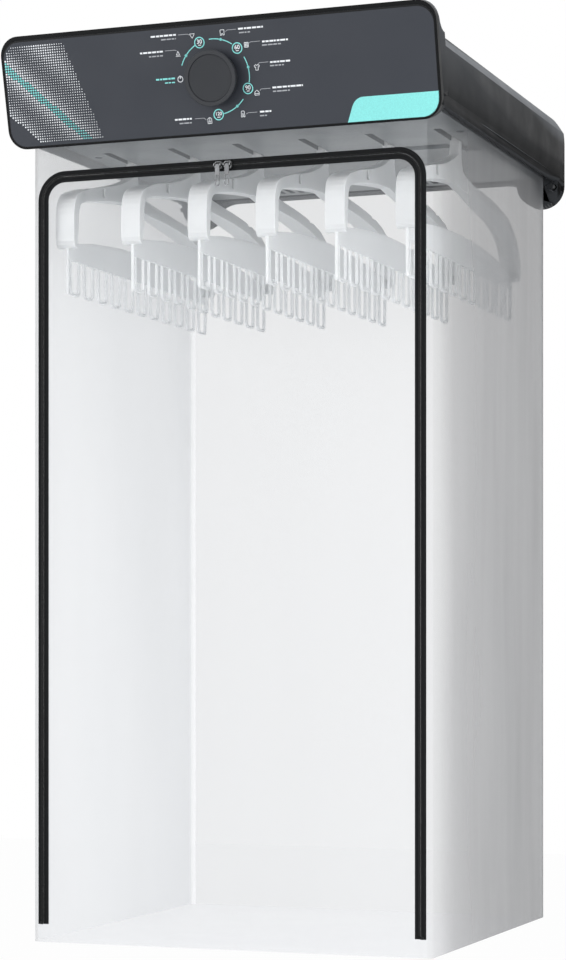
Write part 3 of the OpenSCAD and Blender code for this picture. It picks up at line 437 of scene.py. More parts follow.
def piece_from(name, points, faces, material, body="dryer", smooth=False):
    mesh = bpy.data.meshes.new(name)
    mesh.from_pydata([tuple(p) for p in points], [], faces)
    mesh.update()
    mesh.materials.append(material)
    if smooth:
        mesh.polygons.foreach_set("use_smooth", [True] * len(mesh.polygons))
    made = bpy.data.objects.new(name, mesh)
    bpy.context.scene.collection.objects.link(made)
    if body:
        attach(made, body)
    return made


DIAL_X, DIAL_UP, DIAL_R = -0.2, 0.1, 44.3


def dial_point(angle, radius):
    turn = math.radians(angle)
    return DIAL_X + radius * math.sin(turn), DIAL_UP + radius * math.cos(turn)


class InkLayer:
    """Collects flat printed shapes as one mesh."""

    def __init__(self):
        self.points, self.faces = [], []

    def shape(self, outline):
        start = len(self.points)
        self.points += [on_face(x, u) for x, u in outline]
        self.faces.append(tuple(range(start, start + len(outline))))

    def band(self, inner, outer, closed=False):
        start = len(self.points)
        n = len(inner)
        self.points += [on_face(x, u) for x, u in inner] + [on_face(x, u) for x, u in outer]
        for k in range(n if closed else n - 1):
            j = (k + 1) % n
            self.faces.append((start + k, start + n + k, start + n + j, start + j))

    def ring(self, x, u, radius, width):
        turns = [2 * math.pi * k / ROUND_SIDES for k in range(ROUND_SIDES)]
        self.band([(x + (radius - width) * math.sin(t), u + (radius - width) * math.cos(t))
                   for t in turns],
                  [(x + radius * math.sin(t), u + radius * math.cos(t)) for t in turns], True)

    def dot(self, x, u, radius, sides=12):
        turns = [-2 * math.pi * k / sides for k in range(sides)]
        self.shape([(x + radius * math.sin(t), u + radius * math.cos(t)) for t in turns])

    def arc(self, from_angle, to_angle, radius, width):
        angles = [from_angle + (to_angle - from_angle) * k / ARC_STEPS
                  for k in range(ARC_STEPS + 1)]
        self.band([dial_point(a, radius - width / 2) for a in angles],
                  [dial_point(a, radius + width / 2) for a in angles])

    def line(self, x0, u0, x1, u1, width):
        along = Vector((x1 - x0, u1 - u0)).normalized() * (width / 2)
        side = Vector((-along.y, along.x))
        self.shape([(x0 - side.x, u0 - side.y), (x1 - side.x, u1 - side.y),
                    (x1 + side.x, u1 + side.y), (x0 + side.x, u0 + side.y)])

    def make(self, name, material):
        piece_from(name, self.points, self.faces, material)


def fine_line(layer, points):
    for (x0, u0), (x1, u1) in zip(points, points[1:]):
        layer.line(x0, u0, x1, u1, FINE_W)


# Dial: a mint ring with a short white rule round each number, mint arcs with a dot
# between the rings, and a white off mark, a ring with a stroke through its top.
mint_marks, white_marks, grey_marks = InkLayer(), InkLayer(), InkLayer()
STOP_R, STOP_LINE, ARC_LINE, ARC_DOT_R = 6.7, 1.25, 1.15, 1.7
RULE_HALF, RULE_DOWN, WHITE_LINE = 1.9, 3.0, 0.9
OFF_X, OFF_U, OFF_R = -44.8, 0.7, 3.7
STROKE_LOW, STROKE_TOP = 0.6, 4.6
stops = {"30": -21.2, "60": 45.4, "90": 112.0, "120": 179.0}
for angle in stops.values():
    x, u = dial_point(angle, DIAL_R)
    mint_marks.ring(x, u, STOP_R, STOP_LINE)
    white_marks.line(x - RULE_HALF, u - RULE_DOWN, x + RULE_HALF, u - RULE_DOWN, WHITE_LINE)
for first, last, dot in ((-68.2, -30, -51.5), (-4.5, 35, 15.1), (62.5, 102.5, 79.4),
                         (130, 169.5, 144.6)):
    mint_marks.arc(first, last, DIAL_R, ARC_LINE)
    mint_marks.dot(*dial_point(dot, DIAL_R), ARC_DOT_R)
white_marks.ring(OFF_X, OFF_U, OFF_R, WHITE_LINE)
white_marks.line(OFF_X, OFF_U + STROKE_LOW, OFF_X, OFF_U + STROKE_TOP, WHITE_LINE)

# Pictograms of the loads, each drawn on a half size of one and printed at PICTO_W and
# PICTO_H, with a leader line and two rows of plain dashes beside it.
PICTO_W, PICTO_H = 3.1, 3.4
ROW_1, ROW_2 = 2.0, 1.5
MINT_ROW_2 = 1.4
SHORTS = [[(-1, 0.6), (1, 0.6), (0.15, -0.8), (-0.15, -0.8), (-1, 0.6)]]
AIRING = [[(-1, -0.9), (1, -0.9)], [(-0.7, -0.5), (0, 0.8), (0.7, -0.5), (-0.7, -0.5)]]
TOWEL = [[(-0.8, -1), (-0.8, 0.8), (0.8, 0.8), (0.8, -1), (0.3, -1), (0.3, -0.5),
          (-0.3, -0.5), (-0.3, -1), (-0.8, -1)]]
KNIT = [[(-0.8, -0.8), (-0.8, 0.8), (0.8, 0.8), (0.8, -0.8), (-0.8, -0.8)],
        [(-0.8, 0.25), (0.8, 0.25)], [(-0.8, -0.3), (0.8, -0.3)], [(-0.25, 0.8), (-0.25, -0.8)],
        [(0.3, 0.8), (0.3, -0.8)]]
SHIRT = [[(-0.45, 0.9), (-1.1, 0.5), (-0.8, 0.0), (-0.5, 0.2), (-0.5, -1), (0.5, -1), (0.5, 0.2),
          (0.8, 0.0), (1.1, 0.5), (0.45, 0.9), (0, 0.6), (-0.45, 0.9)]]
LINEN = [[(-0.9, -0.8), (-0.9, 0.2), (0, 0.9), (0.9, 0.2), (0.9, -0.8), (-0.9, -0.8)],
         [(-0.9, -0.3), (0.9, -0.3)]]
TROUSERS = [[(-0.6, 1), (0.6, 1), (0.75, -1), (0.2, -1), (0, 0.4), (-0.2, -1), (-0.75, -1),
             (-0.6, 1)]]
COAT = [[(-0.8, -1), (-0.8, 0.6), (-0.3, 1), (0.3, 1), (0.8, 0.6), (0.8, -1), (-0.8, -1)],
        [(0, 0.9), (0, -1)], [(-0.5, -0.3), (-0.2, -0.3)], [(0.2, -0.3), (0.5, -0.3)]]
# Shape, middle of the pictogram, leader line, then the dashes: first row and second row
LOADS = [
    (SHORTS, -24.9, 50.2, ((-28.6, 51.3), (-31, 52.4), (-42.8, 52.4)),
     ((-78.4, 52.9, -45.5), (-65.3, 48.4, -45.9))),
    (AIRING, -45.0, 30.8, ((-46.5, 34.2), (-49.0, 35.2), (-61.5, 35.2)),
     ((-94.2, 34.8, -64.3), (-82.9, 29.9, -64.7))),
    (TOWEL, 13.9, 51.0, ((18.2, 51.2), (20.0, 53.0), (31.9, 53.0)),
     ((34.6, 53.2, 66.2), (35.4, 48.6, 50.6))),
    (KNIT, 43.4, 34.0, ((47.2, 35.6), (48.8, 37.0), (61.0, 37.0)),
     ((63.6, 36.1, 96.3), (63.2, 32.0, 87.1))),
    (SHIRT, 54.4, 7.2, ((56.0, 10.6), (57.8, 12.2), (69.4, 12.2)),
     ((71.6, 11.7, 97.9), (71.2, 7.6, 88.8))),
    (LINEN, 51.9, -22.3, ((55.8, -20.0), (57.6, -18.3), (69.5, -18.3)),
     ((72.0, -17.8, 110.5), (72.3, -22.3, 93.7))),
    (TROUSERS, 31.8, -45.7, ((36.0, -46.0), (38.4, -44.7), (50.3, -44.7)),
     ((53.7, -44.7, 69.5), (53.3, -49.3, 62.2))),
    (COAT, -11.4, -50.4, ((-15.8, -49.6), (-18.2, -46.9), (-30.4, -46.9)),
     ((-56.5, -46.4, -34.4), (-50.9, -51.2, -34.8)))]


def dashes(layer, x0, u, x1, width, seed):
    """A broken rule of uneven short dashes between x0 and x1."""
    dice = random.Random(seed)
    shortest = 1.0
    x = x0
    while x < x1 - shortest:
        length = min(x1 - x, dice.uniform(2.4, 6.5))
        layer.line(x, u, x + length, u, width)
        x += length + dice.uniform(0.7, 1.2)


for number, (outlines, x, u, leader, (upper_row, lower_row)) in enumerate(LOADS):
    for outline in outlines:
        fine_line(white_marks, [(x + PICTO_W * a, u + PICTO_H * b) for a, b in outline])
    fine_line(grey_marks, leader)
    dashes(white_marks, *upper_row, ROW_1, number)
    dashes(grey_marks, *lower_row, ROW_2, number + 20)
dashes(mint_marks, -76.5, 2.4, -51.8, ROW_1, 40)
dashes(mint_marks, -65.2, -2.3, -52.2, MINT_ROW_2, 41)


def dial_number(label, angle, size):
    """One number of the dial, set as type, made a mesh and laid on the panel's slope."""
    thicker, raised = 0.1, 0.9
    text = bpy.data.curves.new(f"dial_{label}", "FONT")
    text.body = label
    text.size = size * mm
    text.offset = thicker * mm
    text.align_x = "CENTER"
    text.align_y = "CENTER"
    x, u = dial_point(angle, DIAL_R)
    number = bpy.data.objects.new(f"dial_{label}", text)
    number.location = on_face(x, u + raised)
    number.rotation_euler = (math.radians(90) + TILT, 0, 0)
    text.materials.append(white_ink)
    bpy.context.scene.collection.objects.link(number)
    bpy.context.view_layer.update()
    mesh = bpy.data.meshes.new_from_object(number)
    mesh.transform(number.matrix_world)
    made = bpy.data.objects.new(f"dial_number_{label}", mesh)
    bpy.data.objects.remove(number)
    bpy.context.scene.collection.objects.link(made)
    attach(made, "dryer")


for label, angle in stops.items():
    dial_number(label, angle, 7.0 if len(label) < 3 else 5.8)

# Border, tag and dots: a thin black line printed round the panel's edge, a bare mint tag
# in its lower right corner, and at its left end a plain field of fine dots, which swell
# and fade along straight slanting stripes.
PANEL_X, PANEL_LOW, PANEL_TOP, PANEL_R = 277.2, -65.2, 62.6, 21.0


def panel_outline(side, low, top, radius):
    outline = []
    for cx, cu, first in ((1, 1, 0), (-1, 1, 90), (-1, -1, 180), (1, -1, 270)):
        for a in range(first, first + 91, 9):
            t = math.radians(a)
            x = cx * (PANEL_X - side - radius) + radius * math.cos(t)
            u = (PANEL_TOP - top - radius if cu > 0 else PANEL_LOW + low + radius)
            outline.append((x, u + radius * math.sin(t)))
    return outline


border = InkLayer()
SIDE_LINE, LOW_LINE, TOP_LINE = 0.8, 0.3, 1.9
edge_out = panel_outline(0, 0, 0, PANEL_R)
edge_in = panel_outline(SIDE_LINE, LOW_LINE, TOP_LINE, PANEL_R - 0.6)
for k in range(len(edge_out)):
    j = (k + 1) % len(edge_out)
    border.shape([edge_out[k], edge_out[j], edge_in[j], edge_in[k]])
border.make("panel_border", black_ink)

tag = [(163.0, PANEL_LOW), (170.2, -46.4)]
tag += [(184.5 - 14.6 * math.cos(math.radians(a)), -50.5 + 13.8 * math.sin(math.radians(a)))
        for a in range(20, 91, 10)]
tag += [(PANEL_X, -36.7)]
tag += [(PANEL_X - PANEL_R + PANEL_R * math.cos(math.radians(a)),
         PANEL_LOW + PANEL_R - PANEL_R * math.sin(math.radians(a))) for a in range(0, 91, 9)]
tag_layer = InkLayer()
tag_layer.shape(tag[::-1])
tag_layer.make("mint_tag", mint_ink)

white_dots, mint_dots = InkLayer(), InkLayer()
PITCH, COLUMNS, ROWS = 3.1, 44, 41
DOTS_X, DOTS_LOW, CLEAR_EDGE = -274.6, -63.0, 2.5
PANEL_END, PANEL_MID = 276, 1.3
FIELD_W, FIELD_TIP, FIELD_LOW = 132, 40, -28
STRIPE_MID, STRIPE_W, MINT_FROM, MINT_TO = 36, 12.0, 30, 42
DOT_R, DOT_SWELL = 0.58, 0.72
for column in range(COLUMNS):
    for row in range(ROWS):
        x, u = DOTS_X + PITCH * column, DOTS_LOW + PITCH * row
        corner_x = max(0.0, -(PANEL_X - PANEL_R) - x)
        corner_u = max(0.0, abs(u + PANEL_MID) - (PANEL_TOP - PANEL_MID - PANEL_R))
        if math.hypot(corner_x, corner_u) > PANEL_R - CLEAR_EDGE:
            continue
        from_end = x + PANEL_END
        slant = from_end + 1.1 * u
        reach = FIELD_W - 0.5 * abs(slant - FIELD_TIP)
        if slant < FIELD_LOW or from_end > reach:
            continue
        swell = 0.5 + 0.5 * math.cos((slant - STRIPE_MID) / STRIPE_W)
        fade = max(0.0, 1 - from_end / reach) ** 0.5
        layer = mint_dots if MINT_FROM < slant < MINT_TO else white_dots
        layer.dot(x, u, DOT_R + DOT_SWELL * swell * fade, 6)
white_dots.make("white_dots", white_ink)
mint_dots.make("mint_dots", mint_ink)
mint_marks.make("mint_marks", mint_ink)
white_marks.make("white_marks", white_ink)
grey_marks.make("grey_marks", grey_ink)

# Knob: a charcoal moulding, pushed on to the timer's shaft, with a satin rim pressed
# round its dished face. Both are ABS of slightly different grain.
knob_plastic = plastic("knob_plastic", (0.0297, 0.0316, 0.0355), 0.5, grain=2600, tone=0.03,
                       dust=0.01, relief=0.08, specular=0.15)
rim_plastic = plastic("rim_plastic", (0.03, 0.032, 0.036), 0.36, grain=2600, tone=0.03,
                      dust=0.0, relief=0.04, specular=0.16)
finish_node("knob", knob_plastic)
finish_node("knob_ring", rim_plastic)

# Tray: the head's light grey underside, one moulding with the hanger slots, the cross
# recess and the warm-air outlets at the rear, screwed up into the casing.
tray_plastic = plastic("tray_plastic", (0.245, 0.26, 0.27), 0.42, grain=1200, tone=0.04,
                       dust=0.0, relief=0.1)
finish_node("tray", tray_plastic)

# Inside the head: the blower's housing and the heater's brackets of plated sheet, a
# nylon wheel and motor, finned heater rods, and the small electrical pieces in nylon.
dark_nylon = plastic("dark_nylon", (0.02, 0.021, 0.022), 0.5, grain=1800)
cream_nylon = plastic("cream_nylon", (0.72, 0.7, 0.62), 0.42, grain=1200, dust=0.1)
for part in ("fan_housing", "heater_frame"):
    finish_node(part, zinc)
finish_node("heater_rods", metal("heater_steel", (0.42, 0.4, 0.38), 0.4, 200))
for part in ("fan_motor", "fan_wheel"):
    finish_node(part, dark_nylon)
for part in ("timer_body", "terminal_block", "thermal_fuse"):
    finish_node(part, cream_nylon)
for part in ("fan_shaft", "timer_shaft", "thermostat"):
    finish_node(part, metal(f"{part}_steel", (0.66, 0.66, 0.67), 0.26, 300))


# Cover: one welded bag of thin clear film. Each sheet is nearly clear face on and closes up
# towards grazing views. On the side sheets a dark outside colour is painted shade and a pale
# inside colour painted light; the other sheets are a little greyer outside than inside.
front_y, back_y = -539.5, -35.5
half_w, floor_z, top_z = 259.5, -1034.5, -22.0
cover_depth, corner_r, half_t = 505, 6.5, 0.5
flat_x = half_w + half_t - corner_r
zip_x, zip_z, zip_r = 245.5, -86.6, 29.0
zip_gap = 0.2
fold_z = -1012.4
FULL_FACING = 1.04
INNER_SHARE = 0.9
DOWN_STRETCH = 0.12


def film(name, outside, inside, haze, gloss, relief, painted_shade_by_depth=None):
    """Film whose clearness falls with the length of the ray's path through it."""
    made = bpy.data.materials.new(name)
    made.use_nodes = True
    tree = made.node_tree
    body = tree.nodes["Principled BSDF"]
    where = add(tree, "ShaderNodeTexCoord").outputs["Object"]
    # Seen from inside, a sheet shows its inside colour; on the side film that is painted light
    # and the outside colour painted shade.
    faces = add(tree, "ShaderNodeMix", data_type="RGBA")
    from_inside = add(tree, "ShaderNodeNewGeometry").outputs["Backfacing"]
    tree.links.new(from_inside, faces.inputs["Factor"])
    faces.inputs["A"].default_value = (*outside, 1)
    faces.inputs["B"].default_value = (*inside, 1)
    hanging = add(tree, "ShaderNodeVectorMath", operation="MULTIPLY")
    tree.links.new(where, hanging.inputs[0])
    put(hanging, 1, (1.0, 1.0, DOWN_STRETCH))
    streaks = hanging.outputs[0]
    cloudy = ranged(tree, noise_at(tree, streaks, 14.0, 3.0), 0.35, 0.65, 0.97, 1.0)
    clouded = add(tree, "ShaderNodeVectorMath", operation="SCALE")
    tree.links.new(faces.outputs["Result"], clouded.inputs[0])
    tree.links.new(cloudy, clouded.inputs["Scale"])
    tree.links.new(clouded.outputs[0], body.inputs["Base Color"])
    facing = add(tree, "ShaderNodeLayerWeight")
    put(facing, "Blend", 0.5)
    square_on = maths(tree, "SUBTRACT", FULL_FACING, facing.outputs["Facing"])
    path = maths(tree, "DIVIDE", 1.0, square_on)
    face_on = 1 - haze
    # The haze listed by depth makes the side film's painted shade grow towards the wall.
    if painted_shade_by_depth:
        depth = add(tree, "ShaderNodeSeparateXYZ")
        tree.links.new(where, depth.inputs[0])
        share = ranged(tree, depth.outputs["Y"], front_y * mm, back_y * mm, 0.0, 1.0)
        ramp = add(tree, "ShaderNodeValToRGB")
        tree.links.new(share, ramp.inputs["Fac"])
        stops_at = ramp.color_ramp.elements
        while len(stops_at) < len(painted_shade_by_depth):
            stops_at.new(0.5)
        for stop, (at, _) in zip(stops_at, painted_shade_by_depth):
            stop.position = at
        for stop, (_, hazy_by) in zip(stops_at, painted_shade_by_depth):
            stop.color = (1 - hazy_by, 1 - hazy_by, 1 - hazy_by, 1)
        both = add(tree, "ShaderNodeMix", data_type="FLOAT")
        tree.links.new(from_inside, both.inputs["Factor"])
        tree.links.new(ramp.outputs["Color"], both.inputs["A"])
        tree.links.new(maths(tree, "MINIMUM", 1 - haze,
                             maths(tree, "MULTIPLY", ramp.outputs["Color"], INNER_SHARE)),
                       both.inputs["B"])
        face_on = both.outputs["Result"]
    clear = maths(tree, "POWER", face_on, path)
    tree.links.new(maths(tree, "SUBTRACT", 1.0, clear), body.inputs["Alpha"])
    tree.links.new(ranged(tree, noise_at(tree, streaks, 24.0, 3.0), 0.3, 0.7, gloss - 0.04,
                          gloss + 0.05), body.inputs["Roughness"])
    put(body, "IOR", 1.4)
    slack = noise_at(tree, streaks, 9.0, 2.0)
    tree.links.new(bumped(tree, slack, relief, 0.004), body.inputs["Normal"])
    return made


# Each film: its colour outside and inside, haze face on, gloss and relief. The side film's
# dark outside and pale inside are painted shade and painted light, and its list gives the haze
# at shares of its depth, clearest at the front, which paints its shade deeper towards the wall.
clear_film = film("clear_film", (0.84, 0.86, 0.88), (0.86, 0.88, 0.9), 0.08, 0.3, 0.25)
side_film = film("side_film", (0.1, 0.102, 0.106), (0.93, 0.935, 0.945), 0.31, 0.34, 0.2,
                 [(0.0, 0.04), (0.06, 0.07), (0.18, 0.197), (0.3, 0.243), (0.44, 0.271),
                  (0.7, 0.295), (0.97, 0.308), (1.0, 0.4)])
back_film = film("back_film", (0.46, 0.47, 0.49), (0.53, 0.54, 0.56), 0.3, 0.4, 0.2)
floor_film = film("floor_film", (0.84, 0.85, 0.9), (0.84, 0.85, 0.9), 0.07, 0.36, 0.2)


def waver(a, b, seed):
    """A slow uneven swell of the film, about one unit high, in waves of 33 to 140 mm."""
    return (math.sin(a / 61.0 + seed) * math.sin(b / 97.0 + 1.7 * seed)
            + 0.5 * math.sin(a / 33.0 + b / 140.0 + 2.3 * seed)
            + 0.35 * math.sin(a / 140.0 - b / 45.0 + seed * 0.7)) / 1.6


def grid_piece(name, columns, rows, point, material, body="dryer"):
    points = [Vector(point(c, r)) * mm for r in rows for c in columns]
    w = len(columns)
    faces = [(r * w + c, r * w + c + 1, (r + 1) * w + c + 1, (r + 1) * w + c)
             for r in range(len(rows) - 1) for c in range(w - 1)]
    return piece_from(name, points, faces, material, body, smooth=True)


def steps(first, last, about):
    n = max(1, round(abs(last - first) / about))
    return [first + (last - first) * k / n for k in range(n + 1)]


# Side sheets: one length of film for each side, which wraps both its corners and is
# welded to the front and back sheets. It hangs slack by a millimetre or two, less near
# its seams. MESH is the distance between the points of every sheet.
MESH = 12
CORNER_STEPS = 8
SIDE_SLACK, SIDE_EASE_Y, SIDE_EASE_Z = 1.6, 70, 90
mid_r = corner_r - half_t


def side_run():
    """Outline in plan of the right side, from the front seam round both corners."""
    turns = [math.radians(90 * k / CORNER_STEPS) for k in range(CORNER_STEPS + 1)]
    run = [(flat_x + mid_r * math.sin(t), front_y + corner_r - half_t - mid_r * math.cos(t))
           for t in turns]
    run += [(half_w, y) for y in steps(front_y + corner_r, back_y - corner_r, MESH)[1:-1]]
    run += [(flat_x + mid_r * math.cos(t), back_y - corner_r + half_t + mid_r * math.sin(t))
            for t in turns]
    return run


side_plan = side_run()
side_rows = steps(floor_z, top_z, MESH)


def held(value, low, high, reach):
    """0 at both ends of a span and 1 further in than reach."""
    edge = min(value - low, high - value) / reach
    edge = max(0.0, min(1.0, edge))
    return edge * edge * (3 - 2 * edge)


def side_point(sign, seed):
    def point(c, z):
        x, y = side_plan[c]
        slack = held(y, front_y, back_y, SIDE_EASE_Y) * held(z, floor_z, top_z, SIDE_EASE_Z)
        return sign * (x - SIDE_SLACK * slack * (0.6 + waver(y, z, seed))), y, z
    return point


for sign, side, seed in ((-1, "left", 0.4), (1, "right", 2.1)):
    turned = range(len(side_plan)) if sign > 0 else range(len(side_plan) - 1, -1, -1)
    sheet_piece = grid_piece(f"film_{side}", turned, side_rows, side_point(sign, seed),
                             side_film)
    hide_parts(f"cover_{side}")


# Back sheet: plain film between the side sheets' rear corners, hazier than the rest, and
# slack towards the inside.
BACK_EASE_X, BACK_EASE_Z = 60, 80


def back_point(x, z):
    slack = held(x, -flat_x, flat_x, BACK_EASE_X) * held(z, floor_z, top_z, BACK_EASE_Z)
    return x, back_y - slack * (0.5 + waver(x, z, 3.3)), z


film_back = grid_piece("film_back", steps(-flat_x, flat_x, MESH), side_rows, back_point,
                       back_film)
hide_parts("cover_back")


# Floor sheet: stretched flat between the side sheets' lower edges and welded all round.
# It sags a little in its middle. ACROSS is a share of its half width between two points.
FLOOR_SAG, SAG_REACH = 3.0, 200
ACROSS = 0.045


def floor_sag(x, y):
    return FLOOR_SAG * held(x, -half_w, half_w, SAG_REACH) * held(y, front_y, back_y, SAG_REACH)


def floor_point(column, y):
    inset = 0.0
    for edge, inward in ((front_y, 1), (back_y, -1)):
        d = (y - edge) * inward
        if d < corner_r:
            inset = corner_r - math.sqrt(max(0.0, corner_r ** 2 - (corner_r - d) ** 2))
    x = column * (half_w - inset)
    return x, y, floor_z - floor_sag(x, y)


floor_rows = (steps(front_y, front_y + corner_r, 1.5)
              + steps(front_y + corner_r, back_y - corner_r, MESH)[1:-1]
              + steps(back_y - corner_r, back_y, 1.5))
film_floor = grid_piece("film_floor", steps(-1, 1, ACROSS), floor_rows, floor_point, floor_film)
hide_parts("cover_floor")


# Front sheet: clear film, cut out for the zip's arch. What is left is a narrow border at
# the sides and top and a strip under the fold, welded to the side sheets and the floor.
centre_x, centre_z = zip_x - zip_r, zip_z - zip_r
HINGE_HALF = 4.0
BANDS = 6
TOP_SWELL, TOP_CLEAR, TOP_EASE = 0.8, 8, 25


def arch_half(z, inset):
    """Half width of the arch at a height, its outline moved inward by inset."""
    r = zip_r - inset
    if z <= centre_z:
        return zip_x - inset
    return centre_x + math.sqrt(max(0.0, r * r - (z - centre_z) ** 2))


def arch_line(outset, low, about=9.0):
    """Points along the arch's outline, moved outward, from the left foot to the right."""
    r = zip_r + outset
    left = [(-zip_x - outset, z) for z in steps(low, centre_z, about)]
    turn = [(-centre_x - r * math.cos(math.radians(a)), centre_z + r * math.sin(math.radians(a)))
            for a in steps(0, 90, 5)[1:]]
    top = [(x, zip_z + outset) for x in steps(-centre_x, centre_x, about)[1:-1]]
    return left + turn + top + [(-x, z) for x, z in reversed(left + turn)]


def outer_line(line):
    """The front sheet's own border, opposite each point of the arch."""
    out = []
    for x, z in line:
        if z <= centre_z:
            out.append((math.copysign(flat_x, x), z))
        elif abs(x) <= centre_x:
            out.append((x, top_z))
        else:
            a = math.degrees(math.atan2(z - centre_z, abs(x) - centre_x)) / 45
            px = flat_x if a <= 1 else flat_x + (centre_x - flat_x) * (a - 1)
            pz = centre_z + (top_z - centre_z) * a if a <= 1 else top_z
            out.append((math.copysign(px, x), pz))
    return out


inner = arch_line(zip_gap, fold_z)
outer = outer_line(inner)


def front_swell(x, z):
    return front_y + TOP_SWELL * held(z, zip_z + TOP_CLEAR, top_z, TOP_EASE) * waver(x, z, 5.2)


front_points, front_faces = [], []
for k in range(BANDS + 1):
    s = k / BANDS
    for (ax, az), (bx, bz) in zip(inner, outer):
        x, z = ax + (bx - ax) * s, az + (bz - az) * s
        front_points.append(Vector((x, front_swell(x, z), z)) * mm)
n = len(inner)
for k in range(BANDS):
    for i in range(n - 1):
        front_faces.append((k * n + i, k * n + i + 1, (k + 1) * n + i + 1, (k + 1) * n + i))
low_columns = sorted({x for x, z in (inner[0], outer[0], inner[-1], outer[-1])}
                     | set(steps(-zip_x - zip_gap, zip_x + zip_gap, MESH)))
start = len(front_points)
low_rows = steps(floor_z, fold_z - HINGE_HALF, 6)
for z in low_rows:
    front_points += [Vector((x, front_y, z)) * mm for x in low_columns]
w = len(low_columns)
for r in range(len(low_rows) - 1):
    for c in range(w - 1):
        a = start + r * w + c
        front_faces.append((a, a + 1, a + w + 1, a + w))
for sign in (-1, 1):
    start = len(front_points)
    xs = sorted((sign * (zip_x + zip_gap), sign * flat_x))
    for z in (fold_z - HINGE_HALF, fold_z):
        front_points += [Vector((x, front_y, z)) * mm for x in xs]
    front_faces.append((start, start + 1, start + 3, start + 2))
film_front = piece_from("film_front", front_points, front_faces, clear_film, "dryer", True)
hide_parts("cover_front")

# Flap: the clear film door inside the zip's arch. Its foot runs on into the strip under
# it, and its rows of points lie close together round the fold, where the film would bend.
FLAP_SLACK, FLAP_EASE_X, FLAP_EASE_Z = 1.5, 45, 70
flap_rows = (steps(fold_z - HINGE_HALF, fold_z + HINGE_HALF, 0.8)
             + steps(fold_z + HINGE_HALF, centre_z, 11)[1:]
             + [centre_z + (zip_r - zip_gap) * math.sin(math.radians(a))
                for a in steps(0, 90, 5)[1:]])


def flap_point(u, z):
    x = u * arch_half(z, zip_gap)
    slack = held(x, -zip_x, zip_x, FLAP_EASE_X) * held(z, fold_z, zip_z, FLAP_EASE_Z)
    return x, front_y + FLAP_SLACK * slack * (0.4 + waver(x, z, 1.1)), z


film_flap = grid_piece("film_flap", steps(-1, 1, ACROSS), flap_rows, flap_point, clear_film, None)
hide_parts("cover_flap")
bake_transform(film_flap)


# Hem: a bead of soft grey vinyl along the cover's upper edge, where the film is folded
# over and welded. The tray's rim grips it all round.
hem_rubber = plastic("hem_rubber", (0.3, 0.31, 0.32), 0.5, grain=1500)
hem_section = [(0.0, -3.0), (0.0, 3.0), (-2.2, 3.0), (-6.5, 2.4), (-8.0, 0.8), (-8.0, -0.8),
               (-6.5, -2.4), (-2.2, -3.0)]
hem_mid_z = -19.0


def plan_line(half_x, y_front, y_back, radius):
    """Rounded rectangle in plan, each point with the direction that faces out there."""
    corners = ((half_x, y_front, -90), (half_x, y_back, 0), (-half_x, y_back, 90),
               (-half_x, y_front, 180))
    line = []
    for x, y, first in corners:
        cx = x - math.copysign(radius, x)
        cy = y + radius if y == y_front else y - radius
        for a in steps(first, first + 90, 11):
            t = math.radians(a)
            line.append((cx + radius * math.cos(t), cy + radius * math.sin(t),
                         math.cos(t), math.sin(t)))
    return line


hem_line = plan_line(259.8, -539.8, -35.2, 3.8)
hem_points, hem_faces = [], []
for x, y, nx, ny in hem_line:
    hem_points += [Vector((x + nx * d, y + ny * d, hem_mid_z + h)) * mm for d, h in hem_section]
m, n = len(hem_section), len(hem_line)
for k in range(n):
    for j in range(m):
        a, b = k * m + j, k * m + (j + 1) % m
        c, d = ((k + 1) % n) * m + (j + 1) % m, ((k + 1) % n) * m + j
        hem_faces.append((a, b, c, d))
hem = piece_from("hem_bead", hem_points, hem_faces, hem_rubber, "dryer", True)
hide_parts("cover_hem")

# Zip: black woven tapes on both sides of the arch, each with its moulded coil. The tape
# is polyester with a fine rib, welded to the film; the coil's turns stand proud of it.
tape_cloth = bpy.data.materials.new("zip_cloth")
tape_cloth.use_nodes = True
cloth = tape_cloth.node_tree
cloth_body = cloth.nodes["Principled BSDF"]
cloth_place = add(cloth, "ShaderNodeTexCoord").outputs["Object"]
weave = add(cloth, "ShaderNodeTexWave", wave_type="BANDS", bands_direction="DIAGONAL")
put(weave, "Scale", 420.0)
put(weave, "Distortion", 1.2)
cloth.links.new(cloth_place, weave.inputs["Vector"])
worn = add(cloth, "ShaderNodeMix", data_type="RGBA")
cloth.links.new(ranged(cloth, weave.outputs["Fac"], 0, 1, 0, 1), worn.inputs["Factor"])
worn.inputs["A"].default_value = (0.005, 0.0055, 0.006, 1)
worn.inputs["B"].default_value = (0.011, 0.0115, 0.0125, 1)
cloth.links.new(worn.outputs["Result"], cloth_body.inputs["Base Color"])
put(cloth_body, "Roughness", 0.7)
put(cloth_body, "Specular IOR Level", 0.1)
cloth.links.new(bumped(cloth, weave.outputs["Fac"], 0.5, 0.0003), cloth_body.inputs["Normal"])
coil_plastic = plastic("coil_plastic", (0.008, 0.0085, 0.009), 0.34, grain=3000, dust=0.0,
                       specular=0.15)
tape_front, tape_w, tape_t = -540.0, 7.0, 0.6
thin_w, thin_t = 0.7, 0.35
coil_at, coil_foot, coil_pitch = 1.2, 3.4, 1.5
coil_t, coil_shoulder, turn_half = 2.0, 0.5, 0.5


def strip_along(lines, depths):
    """A bar along the arch whose section's corners are the given lines at given depths."""
    points = []
    for line, depth in zip(lines, depths):
        points += [Vector((x, depth, z)) * mm for x, z in line]
    n, m = len(lines[0]), len(lines)
    faces = []
    for j in range(m):
        a, b = j * n, ((j + 1) % m) * n
        faces += [(a + i, a + i + 1, b + i + 1, b + i) for i in range(n - 1)]
    faces.append(tuple(j * n for j in range(m)))
    faces.append(tuple(j * n + n - 1 for j in reversed(range(m))))
    return points, faces


